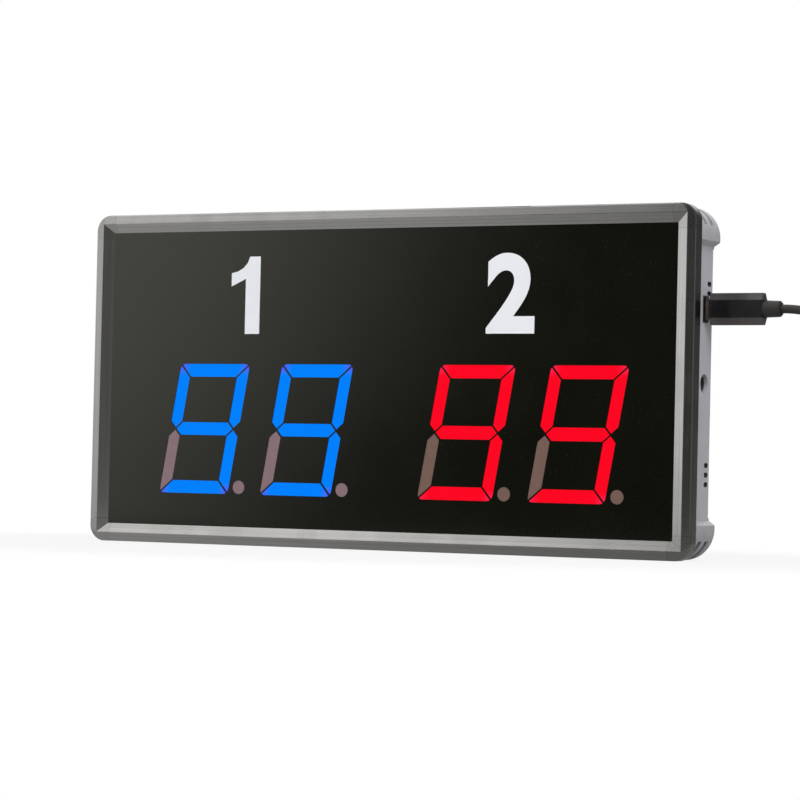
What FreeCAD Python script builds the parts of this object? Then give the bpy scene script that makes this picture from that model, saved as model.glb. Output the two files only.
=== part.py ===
import FreeCAD, Part
import math
import os

from FreeCAD import Vector

# Tabletop scoreboard with four seven-segment digits, in millimetres.
# X runs to the viewer's right, Y to the rear, Z up. The origin is the middle of the base.

# Overall size of the housing
overall_width = 400.0
overall_height = 200.0
overall_depth = 36.0
cut_overrun = 1.0
touch_gap = 0.3

# Front frame: four rails and four corner pieces round the panel
frame_depth = 8.5
frame_corner_radius = 10.0
crest_inset = 5.5
crest_flat = 0.4
crest_corner_radius = 0.5
land_drop = 0.8
frame_edge_radius = 1.0
side_bevel_width = 6.4
top_bevel_width = 5.4
panel_recess = 3.0
frame_wall = 4.7
rear_lip_reach = 16.0
corner_leg = 14.0
seam_gap = 0.1
ridge_height = 1.5
ridge_thickness = 1.5
spigot_width = 2.2
spigot_depth = 3.6
spigot_length = 10.0
spigot_clearance = 0.1
spigot_inset = 1.3
frame_boss_radius = 3.5
frame_boss_length = 8.0

# Front panel and the foam behind it
panel_thickness = 2.5
panel_edge_clearance = 0.3
panel_corner_radius = 2.0
gasket_thickness = 0.8
gasket_width = 8.0

# Rear case: a moulded tray
case_inset = 4.0
case_wall = 2.5
case_corner_radius = 12.0
case_edge_radius = 1.6
case_fit_clearance = 0.2
case_pad_thickness = 2.4
case_post_radius = 4.2
case_rib_thickness = 1.5
case_screw_inset = 12.0
stiffener_height = 4.0
stiffener_thickness = 1.5

# Corner guards
guard_leg = 20.0
guard_end_slope = 2.6
guard_lip_reach = 24.0
guard_lip_thickness = 2.0
guard_clearance = 0.1
guard_edge_radius = 1.0
guard_corner_radius = 18.0
groove_width = 4.6
groove_depth = 2.0
groove_leg = 11.0
groove_pitch = 9.2
groove_first_depth = 9.4

# Openings in the rear case; the shares are of the overall height, up from the base
port_height_share = 0.708
port_depth = 25.3
jack_height_share = 0.4975
jack_hole_radius = 5.5
vent_length = 5.5
vent_height = 2.8
vent_pitch = 5.4
vent_web = 1.0
vent_pocket_margin = 1.0
vents_per_group = 3
vent_rear_distance = 5.8
vent_height_shares = (0.2415, 0.753)
keyhole_spacing = 200.0
keyhole_height_share = 0.75
keyhole_entry_radius = 4.25
keyhole_slot_width = 4.5
keyhole_slot_rise = 8.0

# Seven-segment digits
digit_height = 78.4
digit_width = 48.8
digit_slant = 10.0
digit_pitch = 71.1
digit_pair_shares = (-0.4235, 0.4655)
digits_above_frame = 11.2
stroke = 7.8
segment_gap = 0.9
segment_corner_radius = 3.5
point_radius = 4.2
point_offset_across = 25.1
point_offset_down = 34.9
lens_clearance = 0.12
lens_inset = 0.2
lens_seat_depth = 1.0
ledge_width = 0.9
well_taper = 0.8
housing_width = 66.0
housing_height = 85.0
housing_depth = 9.0
housing_panel_gap = 0.1
housing_edge_radius = 2.0

# Display board, its lamps and its chips
board_thickness = 1.6
board_side_margin = 3.5
board_height = 104.0
board_screw_inset_across = 14.0
board_screw_inset_up = 4.5
board_corner_radius = 2.0
board_post_radius = 3.5
led_length = 3.0
led_width = 2.0
led_thickness = 0.8
led_spacing = 13.0
driver_length = 10.0
driver_width = 4.0
chip_thickness = 1.6
chip_drop = 26.0
controller_side = 12.0

# Power board with the two sockets
power_board_width = 33.5
power_board_above_port = 17.4
power_board_below_jack = 16.5
power_board_standoff = 2.6
power_boss_radius = 3.2
power_screw_inset = 4.5
header_length = 8.0
header_height = 9.0
header_thickness = 6.0
header_wall = 1.0
header_pocket_depth = 4.0
header_above_jack = 7.5
capacitor_radius = 3.2
capacitor_length = 7.5
capacitor_edge = 0.5
capacitor_below_port = 15.6
capacitor_inset = 9.0
wire_plug_proud = 2.0
wire_plug_clearance = 0.1
wire_radius = 0.7
wire_pitch = 2.2
wire_count = 3
wire_run = 12.0
display_header_setback = 6.0

# Screws
screw_radius = 1.45
screw_hole_clearance = 0.2
thread_clearance = 0.03
screw_head_radius = 2.8
screw_head_height = 1.6
case_screw_length = 25.0
board_screw_length = 8.0
power_screw_length = 5.0
screw_cross_width = 0.6
screw_cross_depth = 0.9
screw_tip_space = 0.8
power_screw_tip_space = 0.2

# Plug and socket of the power lead
socket_inner_height = 12.5
socket_inner_depth = 5.12
socket_wall = 0.3
socket_length = 14.0
socket_flange_reach = 0.8
socket_flange_thickness = 0.4
socket_flange_proud = 0.3
socket_cutout_clearance = 0.25
socket_tongue_thickness = 1.5
socket_tongue_height = 11.0
socket_tongue_length = 8.9
socket_back_thickness = 2.0
socket_leg_width = 1.4
socket_leg_shares = (0.15, 0.7)
plug_shell_height = 12.0
plug_shell_depth = 4.5
plug_shell_wall = 0.3
plug_shell_length = 12.0
plug_shell_sunk = 3.0
plug_core_thickness = 1.7
plug_stand_off = 3.0
grip_length = 32.4
grip_height = 18.0
grip_thickness = 8.0
grip_chamfer_height = 4.2
grip_chamfer_depth = 2.6
grip_edge_radius = 0.6
relief_length = 10.0
relief_start_radius = 4.9
relief_end_radius = 4.5
relief_edge = 0.8

# Round power socket
jack_body_side = 9.0
jack_body_length = 14.0
jack_recess = 2.1
jack_bore_radius = 3.15
jack_bore_length = 9.5
jack_pin_radius = 1.0
jack_pin_setback = 1.0
jack_pin_root = 2.0

# Power lead: 5 mm cord, hand-chosen route down to the waist of a tied hank, then the far plug
cord_diameter = 5.0
cord_route = (
    (241.7, 7.3, 141.6),
    (254.0, 7.3, 141.6),
    (268.0, 7.0, 136.0),
    (279.5, 5.6, 124.0),
    (285.3, 2.8, 105.0),
    (286.6, -1.2, 81.0),
    (286.8, -5.6, 58.0),
    (290.5, -9.2, 38.0),
    (301.0, -11.3, 21.5),
    (315.5, -10.2, 12.0),
    (330.0, -6.5, 9.3),
    (345.0, -6.5, 9.3),
)
arc_share = 0.45
hank_run = 100.0
hank_fold_radius = 15.0
hank_step = 6.2
hank_layer_step = 5.6
hank_rounds_per_layer = 2
hank_waist_draw = 9.0
hank_waist_length = 16.0
tail_run = 32.0
tail_aside = 6.4
tail_rise_run = 16.0
tie_width = 6.0
tie_thickness = 0.8
tie_clearance = 0.4

# Levels worked out from the sizes above
mid_height = overall_height / 2
half_width = overall_width / 2
half_height = overall_height / 2
port_height = overall_height * port_height_share
jack_height = overall_height * jack_height_share
keyhole_height = overall_height * keyhole_height_share
digit_middle_height = rear_lip_reach + digits_above_frame + housing_height / 2
digit_middles = [
    half_width * share + step * digit_pitch / 2
    for share in digit_pair_shares
    for step in (-1, 1)
]
board_left = digit_middles[0] - housing_width / 2 - board_side_margin
board_right = digit_middles[-1] + housing_width / 2 + board_side_margin
board_width = board_right - board_left
board_middle = (board_left + board_right) / 2
power_board_bottom = jack_height - power_board_below_jack
power_board_top = port_height + power_board_above_port
power_board_height = power_board_top - power_board_bottom
power_board_middle_height = (power_board_top + power_board_bottom) / 2
header_level = jack_height + header_above_jack
front_y = -overall_depth / 2
rear_y = overall_depth / 2
panel_front_y = front_y + panel_recess
panel_back_y = panel_front_y + panel_thickness
lip_front_y = panel_back_y + gasket_thickness
frame_back_y = front_y + frame_depth
case_floor_y = rear_y - case_wall
housing_front_y = panel_back_y + housing_panel_gap
lens_back_y = housing_front_y + lens_seat_depth
housing_back_y = housing_front_y + housing_depth
board_back_y = housing_back_y + board_thickness
power_board_back_y = case_floor_y - power_board_standoff
power_board_front_y = power_board_back_y - board_thickness
port_y = front_y + port_depth
case_half_width = half_width - case_inset
case_half_height = half_height - case_inset
wall_inner_x = case_half_width - case_wall
vent_y = rear_y - vent_rear_distance
board_bottom = digit_middle_height - board_height / 2
board_top = digit_middle_height + board_height / 2
screw_x = half_width - case_screw_inset
screw_z = half_height - case_screw_inset
sides = (-1, 1)
corner_names = {(-1, 1): "top_left", (1, 1): "top_right", (-1, -1): "bottom_left", (1, -1): "bottom_right"}
upper_and_lower = ((1, "top"), (-1, "bottom"))
left_and_right = ((-1, "left"), (1, "right"))


def save(name, shapes):
    """Write one node, which may hold several separate solids."""
    shape = shapes if isinstance(shapes, Part.Shape) else Part.makeCompound(shapes)
    shape.exportStep("parts/" + name + ".step")


def block(x_low, x_high, y_low, y_high, z_low, z_high):
    size = (x_high - x_low, y_high - y_low, z_high - z_low)
    return Part.makeBox(*size, Vector(x_low, y_low, z_low))


def rod_y(radius, x, z, y_low, y_high):
    return Part.makeCylinder(radius, y_high - y_low, Vector(x, y_low, z), Vector(0, 1, 0))


def rod_x(radius, y, z, x_low, x_high):
    return Part.makeCylinder(radius, x_high - x_low, Vector(x_low, y, z), Vector(1, 0, 0))


def rounded_loop(middle_x, middle_z, half_x, half_z, radius, y):
    """A rectangle with round corners, in the plane of the panel."""
    diagonal = radius * math.sqrt(0.5)
    edges = []
    corners = ((1, 1), (-1, 1), (-1, -1), (1, -1))
    starts = []
    ends = []
    for sign_x, sign_z in corners:
        centre_x = middle_x + sign_x * (half_x - radius)
        centre_z = middle_z + sign_z * (half_z - radius)
        on_side = Vector(centre_x + sign_x * radius, y, centre_z)
        on_top = Vector(centre_x, y, centre_z + sign_z * radius)
        middle = Vector(centre_x + sign_x * diagonal, y, centre_z + sign_z * diagonal)
        first, last = (on_side, on_top) if sign_x * sign_z > 0 else (on_top, on_side)
        edges.append(Part.Arc(first, middle, last).toShape())
        starts.append(first)
        ends.append(last)
    for index in range(len(corners)):
        following = (index + 1) % len(corners)
        edges.append(Part.makeLine(ends[index], starts[following]))
    return Part.Wire(Part.__sortEdges__(edges))


def rounded_plate(half_x, half_z, radius, y_low, y_high, middle_x=0.0, middle_z=mid_height):
    face = Part.Face(rounded_loop(middle_x, middle_z, half_x, half_z, radius, y_low))
    return face.extrude(Vector(0, y_high - y_low, 0))


def loop_of(points):
    return Part.makePolygon(list(points) + [points[0]])


def outer_edges_at(shape, y):
    """The edges of a shape that lie flat in the plane of one depth."""
    flat = []
    for edge in shape.Edges:
        box = edge.BoundBox
        if abs(box.YMin - y) < touch_gap and abs(box.YMax - y) < touch_gap:
            flat.append(edge)
    return flat


def frame_opening():
    """The bevelled opening: a frustum from the crest line back to the panel."""
    loops = []
    for y in (front_y - cut_overrun, panel_front_y + cut_overrun):
        run = (y - front_y) / panel_recess
        half_x = half_width - crest_inset - side_bevel_width * run
        half_z = half_height - crest_inset - top_bevel_width * run
        corners = ((half_x, half_z), (-half_x, half_z), (-half_x, -half_z), (half_x, -half_z))
        loops.append(loop_of([Vector(x, y, mid_height + z) for x, z in corners]))
    frustum = Part.makeLoft(loops, True, True)
    keep = rounded_plate(half_width, half_height, frame_corner_radius, front_y - cut_overrun, panel_front_y)
    return frustum.common(keep)


def whole_frame():
    """The frame in one piece, before the saw cuts: outside the crest its land slopes gently back."""
    land_y = front_y + land_drop
    crest_x = half_width - crest_inset + crest_flat
    crest_z = half_height - crest_inset + crest_flat
    edge = rounded_loop(0.0, mid_height, half_width, half_height, frame_corner_radius, land_y)
    crest = rounded_loop(0.0, mid_height, crest_x, crest_z, crest_corner_radius, front_y)
    land = Part.makeLoft([edge, crest], True, True)
    body = rounded_plate(half_width, half_height, frame_corner_radius, land_y, frame_back_y)
    body = body.fuse(land).removeSplitter()
    body = body.makeFillet(frame_edge_radius, outer_edges_at(body, land_y))
    slot_x = half_width - frame_wall
    slot_z = half_height - frame_wall
    slot = rounded_plate(slot_x, slot_z, panel_corner_radius, panel_front_y, lip_front_y)
    window_x = half_width - rear_lip_reach
    window_z = half_height - rear_lip_reach
    window = rounded_plate(
        window_x, window_z, panel_corner_radius, panel_back_y, frame_back_y + cut_overrun
    )
    ridge_x = case_half_width - case_wall - case_fit_clearance
    ridge_z = case_half_height - case_wall - case_fit_clearance
    ridge_radius = case_corner_radius - case_wall - case_fit_clearance
    ridge_back_y = frame_back_y + ridge_height
    ridge = rounded_plate(ridge_x, ridge_z, ridge_radius, frame_back_y, ridge_back_y)
    ridge_hollow = rounded_plate(
        ridge_x - ridge_thickness,
        ridge_z - ridge_thickness,
        ridge_radius - ridge_thickness,
        frame_back_y,
        ridge_back_y,
    )
    body = body.cut(frame_opening()).cut(slot).cut(window)
    return body.fuse(ridge.cut(ridge_hollow)).removeSplitter()


def spigot_box(sign_x, sign_z, along_x, grown, start, length):
    """The square peg, or with grown the channel, inside the frame's outer wall."""
    across_low = spigot_inset - grown
    across_high = spigot_inset + spigot_width + grown
    y_low = frame_back_y - spigot_inset - spigot_depth - grown
    y_high = frame_back_y - spigot_inset + grown
    if along_x:
        x_ends = sorted((sign_x * start, sign_x * (start - length)))
        z_ends = sorted((sign_z * (half_height - across_low), sign_z * (half_height - across_high)))
    else:
        x_ends = sorted((sign_x * (half_width - across_low), sign_x * (half_width - across_high)))
        z_ends = sorted((sign_z * start, sign_z * (start - length)))
    return block(*x_ends, y_low, y_high, mid_height + z_ends[0], mid_height + z_ends[1])


def corner_boss(sign_x, sign_z, radius, y_low, y_high):
    return rod_y(radius, sign_x * screw_x, mid_height + sign_z * screw_z, y_low, y_high)


def make_rails(frame):
    """Extruded rails: the frame between its corner pieces, with the peg channel right through."""
    reach_x = half_width - corner_leg - seam_gap
    reach_z = half_height - corner_leg - seam_gap
    lip_x = half_width - rear_lip_reach
    boss_room = []
    for sign_x in sides:
        for sign_z in sides:
            radius = frame_boss_radius + touch_gap
            boss_room.append(corner_boss(sign_x, sign_z, radius, frame_back_y, rear_y))
    for sign_z, name in upper_and_lower:
        z_ends = sorted((sign_z * (half_height + cut_overrun), sign_z * (half_height - corner_leg)))
        lip_ends = sorted((sign_z * (half_height + cut_overrun), sign_z * (half_height - rear_lip_reach)))
        slab = block(-reach_x, reach_x, front_y, rear_y, mid_height + z_ends[0], mid_height + z_ends[1])
        lip = block(-lip_x, lip_x, lip_front_y, rear_y, mid_height + lip_ends[0], mid_height + lip_ends[1])
        rail = frame.common(slab.fuse(lip))
        channel = spigot_box(1, sign_z, True, spigot_clearance, half_width, overall_width)
        save(name + "_rail", rail.cut(channel).cut(boss_room).removeSplitter())
    for sign_x, name in left_and_right:
        x_ends = sorted((sign_x * (half_width + cut_overrun), sign_x * (half_width - rear_lip_reach)))
        slab = block(*x_ends, front_y, rear_y, mid_height - reach_z, mid_height + reach_z)
        rail = frame.common(slab)
        channel = spigot_box(sign_x, 1, False, spigot_clearance, half_height, overall_height)
        save(name + "_rail", rail.cut(channel).cut(boss_room).removeSplitter())


def make_frame_corners(frame):
    """Moulded corner pieces: two legs, two pegs into the rails and a screw boss behind."""
    for (sign_x, sign_z), name in corner_names.items():
        x_ends = sorted((sign_x * (half_width + cut_overrun), sign_x * (half_width - corner_leg)))
        z_ends = sorted((sign_z * (half_height + cut_overrun), sign_z * (half_height - corner_leg)))
        keep = block(*x_ends, front_y, rear_y, mid_height + z_ends[0], mid_height + z_ends[1])
        corner = frame.common(keep)
        peg_length = spigot_length + spigot_width
        peg_start_x = half_width - corner_leg + spigot_width
        peg_start_z = half_height - corner_leg + spigot_width
        corner = corner.fuse(spigot_box(sign_x, sign_z, True, 0.0, peg_start_x, peg_length))
        corner = corner.fuse(spigot_box(sign_x, sign_z, False, 0.0, peg_start_z, peg_length))
        boss_end = frame_back_y + frame_boss_length
        corner = corner.fuse(corner_boss(sign_x, sign_z, frame_boss_radius, frame_back_y, boss_end))
        pilot_start = rear_y - case_screw_length - screw_tip_space
        pilot_radius = screw_radius + thread_clearance
        corner = corner.cut(corner_boss(sign_x, sign_z, pilot_radius, pilot_start, rear_y))
        save("frame_corner_" + name, corner.removeSplitter())


def mitre(shrink):
    """Shift, along X or Z, of a 45 degree segment end that leaves half of the gap."""
    return (segment_gap + 2 * shrink) / math.sqrt(2)


def segment_path(name, shrink):
    """Outline of one upright segment about the digit's middle, as points and arc middles.

    The mitred ends keep the outer corner's rounding until the shrinking has used it up.
    """
    half_across = digit_width / 2 - shrink
    half_up = digit_height / 2 - shrink
    thick = stroke - 2 * shrink
    half_thick = thick / 2
    gap = mitre(shrink)
    radius = segment_corner_radius - shrink
    cut_in = radius * (1 - math.cos(math.radians(45)))
    near = radius * (1 - math.cos(math.radians(67.5)))
    far = radius * (1 - math.sin(math.radians(67.5)))
    rounded = cut_in > gap / 2
    arcs = []
    if name == "g":
        tip = half_across - half_thick - gap
        shoulder = half_across - thick - gap
        right = [(shoulder, half_thick), (tip, 0), (shoulder, -half_thick)]
        left = [(-x, -z) for x, z in right]
        return right + left, arcs
    if name in "ad":
        left = [(-half_across + thick + gap, half_up - thick), (-half_across + gap, half_up)]
        if rounded:
            start = (-half_across + cut_in + gap / 2, half_up - cut_in + gap / 2)
            bend = (-half_across + near, half_up - far)
            left[1:] = [start, bend, (-half_across + radius, half_up)]
            arcs = [1, 4]
        points = left + [(-x, z) for x, z in reversed(left)]
        flip = -1 if name == "d" else 1
        return [(x, z * flip) for x, z in points], arcs
    points = [(-half_across + thick, half_up - thick - gap), (-half_across, half_up - gap)]
    if rounded:
        top = (-half_across + cut_in - gap / 2, half_up - cut_in - gap / 2)
        bend = (-half_across + far, half_up - near)
        points[1:] = [top, bend, (-half_across, half_up - radius)]
        arcs = [1]
    points.append((-half_across, half_thick + gap))
    points.append((-half_across + half_thick, gap))
    points.append((-half_across + thick, half_thick + gap))
    mirror_x = 1 if name in "ef" else -1
    mirror_z = 1 if name in "fb" else -1
    return [(x * mirror_x, z * mirror_z) for x, z in points], arcs


def segment_loop(name, shrink, middle_x, y):
    """The slanted outline of a segment, or the ring of the decimal point, at one depth."""
    lean = math.tan(math.radians(digit_slant))
    if name == "point":
        centre = Vector(middle_x + point_offset_across, y, digit_middle_height - point_offset_down)
        return Part.Wire(Part.makeCircle(point_radius - shrink, centre, Vector(0, 1, 0)))
    outline, arcs = segment_path(name, shrink)
    points = [Vector(middle_x + x + z * lean, y, digit_middle_height + z) for x, z in outline]
    edges = []
    index = 0
    while index < len(points):
        if index in arcs:
            edges.append(Part.Arc(points[index], points[index + 1], points[index + 2]).toShape())
            index += 2
        else:
            following = points[(index + 1) % len(points)]
            edges.append(Part.makeLine(points[index], following))
            index += 1
    return Part.Wire(edges)


def segment_solid(name, shrink, middle_x, y_low, y_high):
    face = Part.Face(segment_loop(name, shrink, middle_x, y_low))
    return face.extrude(Vector(0, y_high - y_low, 0))


segment_names = ("a", "b", "c", "d", "e", "f", "g", "point")
lit_segments = ("a", "b", "c", "d", "f", "g")


def make_front_panel():
    """Black acrylic panel with a window for each segment."""
    half_x = half_width - frame_wall - panel_edge_clearance
    half_z = half_height - frame_wall - panel_edge_clearance
    panel = rounded_plate(half_x, half_z, panel_corner_radius, panel_front_y, panel_back_y)
    windows = []
    for middle_x in digit_middles:
        for name in segment_names:
            low, high = panel_front_y - cut_overrun, panel_back_y + cut_overrun
            windows.append(segment_solid(name, 0.0, middle_x, low, high))
    save("front_panel", panel.cut(windows))
    inner_x = half_x - gasket_width
    inner_z = half_z - gasket_width
    foam = rounded_plate(half_x, half_z, panel_corner_radius, panel_back_y, lip_front_y)
    hollow = rounded_plate(inner_x, inner_z, panel_corner_radius, panel_back_y, lip_front_y)
    save("panel_gasket", foam.cut(hollow))


def light_well(name, middle_x):
    """Seat for the lens and, under its ledge, a tapered well down to the lamps."""
    seat = segment_solid(name, 0.0, middle_x, housing_front_y - cut_overrun, lens_back_y)
    mouth = segment_loop(name, ledge_width, middle_x, lens_back_y)
    base = segment_loop(name, ledge_width + well_taper, middle_x, housing_back_y)
    return seat.fuse(Part.makeLoft([mouth, base], True, True))


def make_digits():
    """Reflector housings and the diffuser lenses that stand in their seats."""
    for index, middle_x in enumerate(digit_middles):
        number = str(index + 1)
        housing = rounded_plate(
            housing_width / 2, housing_height / 2, housing_edge_radius,
            housing_front_y, housing_back_y, middle_x, digit_middle_height,
        )
        wells = [light_well(name, middle_x) for name in segment_names]
        save("digit_" + number + "_housing", housing.cut(wells))
        lit = []
        unlit = []
        for name in segment_names:
            front = panel_front_y + lens_inset
            lens = segment_solid(name, lens_clearance, middle_x, front, lens_back_y)
            (lit if name in lit_segments else unlit).append(lens)
        save("digit_" + number + "_lit_lenses", lit)
        save("digit_" + number + "_unlit_lenses", unlit)


def board_screw_places():
    places = []
    for sign_z in sides:
        reach_z = board_height / 2 - board_screw_inset_up
        for step in (-1, 0, 1):
            x = board_middle + step * (board_width / 2 - board_screw_inset_across)
            places.append((x, digit_middle_height + sign_z * reach_z))
    return places


def power_board_middle():
    """Middle of the small board, which stands just inside the right wall."""
    return wall_inner_x - jack_recess - power_board_width / 2


def power_screw_places():
    x = power_board_middle() - power_board_width / 2 + power_screw_inset
    reach = power_board_height / 2 - power_screw_inset
    return [(x, power_board_middle_height + sign_z * reach) for sign_z in sides]


def lamp_places(middle_x):
    """Two lamps along each segment and one under the decimal point."""
    lean = math.tan(math.radians(digit_slant))
    side_x = digit_width / 2 - stroke / 2
    end_z = digit_height / 2 - stroke / 2
    places = [(point_offset_across, -point_offset_down)]
    for step in (-led_spacing / 2, led_spacing / 2):
        for z in (end_z, 0.0, -end_z):
            places.append((step + z * lean, z))
        for sign_x in sides:
            for sign_z in sides:
                z = sign_z * end_z / 2 + step
                places.append((sign_x * side_x + z * lean, z))
    return [(middle_x + x, digit_middle_height + z) for x, z in places]


def make_display_board():
    board = rounded_plate(
        board_width / 2, board_height / 2, board_corner_radius,
        housing_back_y, board_back_y, board_middle, digit_middle_height,
    )
    hole_radius = screw_radius + screw_hole_clearance
    holes = []
    screws = []
    for x, z in board_screw_places():
        holes.append(rod_y(hole_radius, x, z, housing_back_y - cut_overrun, board_back_y + cut_overrun))
        screws.append(pan_screw(x, z, housing_back_y, board_screw_length))
    save("display_board", board.cut(holes))
    save("display_board_screws", screws)
    lamps = []
    drivers = []
    for middle_x in digit_middles:
        for x, z in lamp_places(middle_x):
            x_ends = (x - led_length / 2, x + led_length / 2)
            z_ends = (z - led_width / 2, z + led_width / 2)
            lamps.append(block(*x_ends, housing_back_y - led_thickness, housing_back_y, *z_ends))
        drivers.append(chip(middle_x, digit_middle_height - chip_drop, driver_length, driver_width))
    save("segment_lamps", lamps)
    save("driver_chips", drivers)
    save("controller_chip", chip(board_middle, digit_middle_height, controller_side, controller_side))


def chip(x, z, length, width):
    """A moulded chip body on the back of the display board, with bevelled sides."""
    x_ends = (x - length / 2, x + length / 2)
    z_ends = (z - width / 2, z + width / 2)
    body = block(*x_ends, board_back_y, board_back_y + chip_thickness, *z_ends)
    return body.makeChamfer(chip_thickness / 4, outer_edges_at(body, board_back_y + chip_thickness))


def pan_screw(x, z, seat_y, length):
    """Pan head screw whose head stands in front of the seat, its shank behind it."""
    head = rod_y(screw_head_radius, x, z, seat_y - screw_head_height, seat_y)
    head = head.makeChamfer(screw_head_height / 2, outer_edges_at(head, seat_y - screw_head_height))
    shank = rod_y(screw_radius, x, z, seat_y, seat_y + length)
    cross = cross_recess(x, z, seat_y - screw_head_height, seat_y - screw_head_height + screw_cross_depth)
    return head.fuse(shank).cut(cross)


def cross_recess(x, z, y_low, y_high):
    reach = screw_head_radius / 2
    half = screw_cross_width / 2
    bar_x = block(x - reach, x + reach, y_low, y_high, z - half, z + half)
    bar_z = block(x - half, x + half, y_low, y_high, z - reach, z + reach)
    return bar_x.fuse(bar_z)


def case_shell():
    """The tray itself: one moulding with a rounded rear edge and a hollow open to the front."""
    outer = rounded_plate(case_half_width, case_half_height, case_corner_radius, frame_back_y, rear_y)
    outer = outer.makeFillet(case_edge_radius, outer_edges_at(outer, rear_y))
    hollow = rounded_plate(
        case_half_width - case_wall,
        case_half_height - case_wall,
        case_corner_radius - case_wall,
        frame_back_y - cut_overrun,
        case_floor_y,
    )
    return outer.cut(hollow)


def case_corner_parts():
    """Corner pads, screw posts and the ribs that tie each post to its two walls."""
    parts = []
    half_wall = case_wall / 2
    inner_z = case_half_height - half_wall
    inner_x = case_half_width - half_wall
    pad_low = case_floor_y - case_pad_thickness
    pad_high = case_floor_y + half_wall
    pads = rounded_plate(inner_x, inner_z, case_corner_radius - half_wall, pad_low, pad_high)
    post_front_y = frame_back_y + frame_boss_length + case_fit_clearance
    pad_reach = guard_lip_reach + case_wall
    for sign_x in sides:
        for sign_z in sides:
            x_ends = sorted((sign_x * inner_x, sign_x * (half_width - pad_reach)))
            z_ends = sorted((sign_z * inner_z, sign_z * (half_height - pad_reach)))
            z_low, z_high = mid_height + z_ends[0], mid_height + z_ends[1]
            parts.append(pads.common(block(*x_ends, pad_low, pad_high, z_low, z_high)))
            parts.append(corner_boss(sign_x, sign_z, case_post_radius, post_front_y, case_floor_y))
            half = case_rib_thickness / 2
            x, z = sign_x * screw_x, mid_height + sign_z * screw_z
            rib_x = sorted((x, sign_x * inner_x))
            rib_z = sorted((z, mid_height + sign_z * inner_z))
            parts.append(block(*rib_x, post_front_y, case_floor_y, z - half, z + half))
            parts.append(block(x - half, x + half, post_front_y, case_floor_y, *rib_z))
    return parts


def case_stiffeners():
    """Two long ribs on the tray's floor, clear of the boards above them."""
    ribs = []
    reach = case_half_width - case_wall / 2
    for z in (keyhole_height + 2 * keyhole_entry_radius + keyhole_slot_rise, board_bottom):
        ends = (z - stiffener_thickness / 2, z + stiffener_thickness / 2)
        ribs.append(block(-reach, reach, case_floor_y - stiffener_height, case_floor_y, *ends))
    return ribs


def guard_lip_pocket(sign_x, sign_z):
    """The shallow corner recess in the tray's back that takes a guard's lip."""
    reach = guard_lip_reach + guard_clearance
    x_ends = sorted((sign_x * (half_width - reach), sign_x * (half_width + cut_overrun)))
    z_ends = sorted((sign_z * (half_height - reach), sign_z * (half_height + cut_overrun)))
    y_low = rear_y - guard_lip_thickness - guard_clearance
    return block(*x_ends, y_low, rear_y + cut_overrun, mid_height + z_ends[0], mid_height + z_ends[1])


def vent_group(middle_z, x_low, x_high):
    """Round-ended slots one over the other, and the pocket that thins the wall behind them."""
    half = vent_height / 2
    reach = vent_length / 2 - half
    group_reach = (vents_per_group - 1) / 2 * vent_pitch
    pocket_z = group_reach + half + vent_pocket_margin
    pocket_front_y = vent_y - vent_length / 2 - vent_pocket_margin
    web_x = case_half_width - vent_web
    cuts = [block(x_low, web_x, pocket_front_y, case_floor_y, middle_z - pocket_z, middle_z + pocket_z)]
    for index in range(vents_per_group):
        z = middle_z - group_reach + index * vent_pitch
        cuts.append(block(x_low, x_high, vent_y - reach, vent_y + reach, z - half, z + half))
        for sign_y in sides:
            cuts.append(rod_x(half, vent_y + sign_y * reach, z, x_low, x_high))
    return cuts


def side_openings():
    """Socket cut-out, round jack hole and the two groups of vent slots in the right wall."""
    x_low = wall_inner_x - cut_overrun
    x_high = case_half_width + cut_overrun
    reach = socket_wall + socket_flange_reach + socket_cutout_clearance
    half_y = socket_inner_depth / 2 + reach
    half_z = socket_inner_height / 2 + reach
    cuts = [block(x_low, x_high, port_y - half_y, port_y + half_y, port_height - half_z, port_height + half_z)]
    cuts.append(rod_x(jack_hole_radius, port_y, jack_height, x_low, x_high))
    for share in vent_height_shares:
        cuts += vent_group(overall_height * share, x_low, x_high)
    return cuts


def keyhole(x):
    """Round entry and narrow slot above it, for a wall screw."""
    y_low, y_high = case_floor_y - cut_overrun, rear_y + cut_overrun
    half = keyhole_slot_width / 2
    top = keyhole_height + keyhole_slot_rise
    entry = rod_y(keyhole_entry_radius, x, keyhole_height, y_low, y_high)
    slot = block(x - half, x + half, y_low, y_high, keyhole_height, top)
    return entry.fuse(slot).fuse(rod_y(half, x, top, y_low, y_high))


def make_rear_case():
    case = case_shell()
    additions = case_corner_parts() + case_stiffeners()
    holes = []
    for x, z in board_screw_places():
        additions.append(rod_y(board_post_radius, x, z, board_back_y, case_floor_y))
        depth = housing_back_y + board_screw_length + screw_tip_space
        holes.append(rod_y(screw_radius + thread_clearance, x, z, board_back_y - cut_overrun, depth))
    for x, z in power_screw_places():
        additions.append(rod_y(power_boss_radius, x, z, power_board_back_y, case_floor_y))
        depth = power_board_front_y + power_screw_length + power_screw_tip_space
        holes.append(rod_y(screw_radius + thread_clearance, x, z, power_board_back_y - cut_overrun, depth))
    case = case.fuse(additions).removeSplitter()
    for sign_x in sides:
        for sign_z in sides:
            holes.append(guard_lip_pocket(sign_x, sign_z))
            radius = screw_radius + screw_hole_clearance
            holes.append(corner_boss(sign_x, sign_z, radius, frame_back_y, rear_y))
        holes.append(keyhole(sign_x * keyhole_spacing / 2))
    save("rear_case", case.cut(holes + side_openings()))


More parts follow.
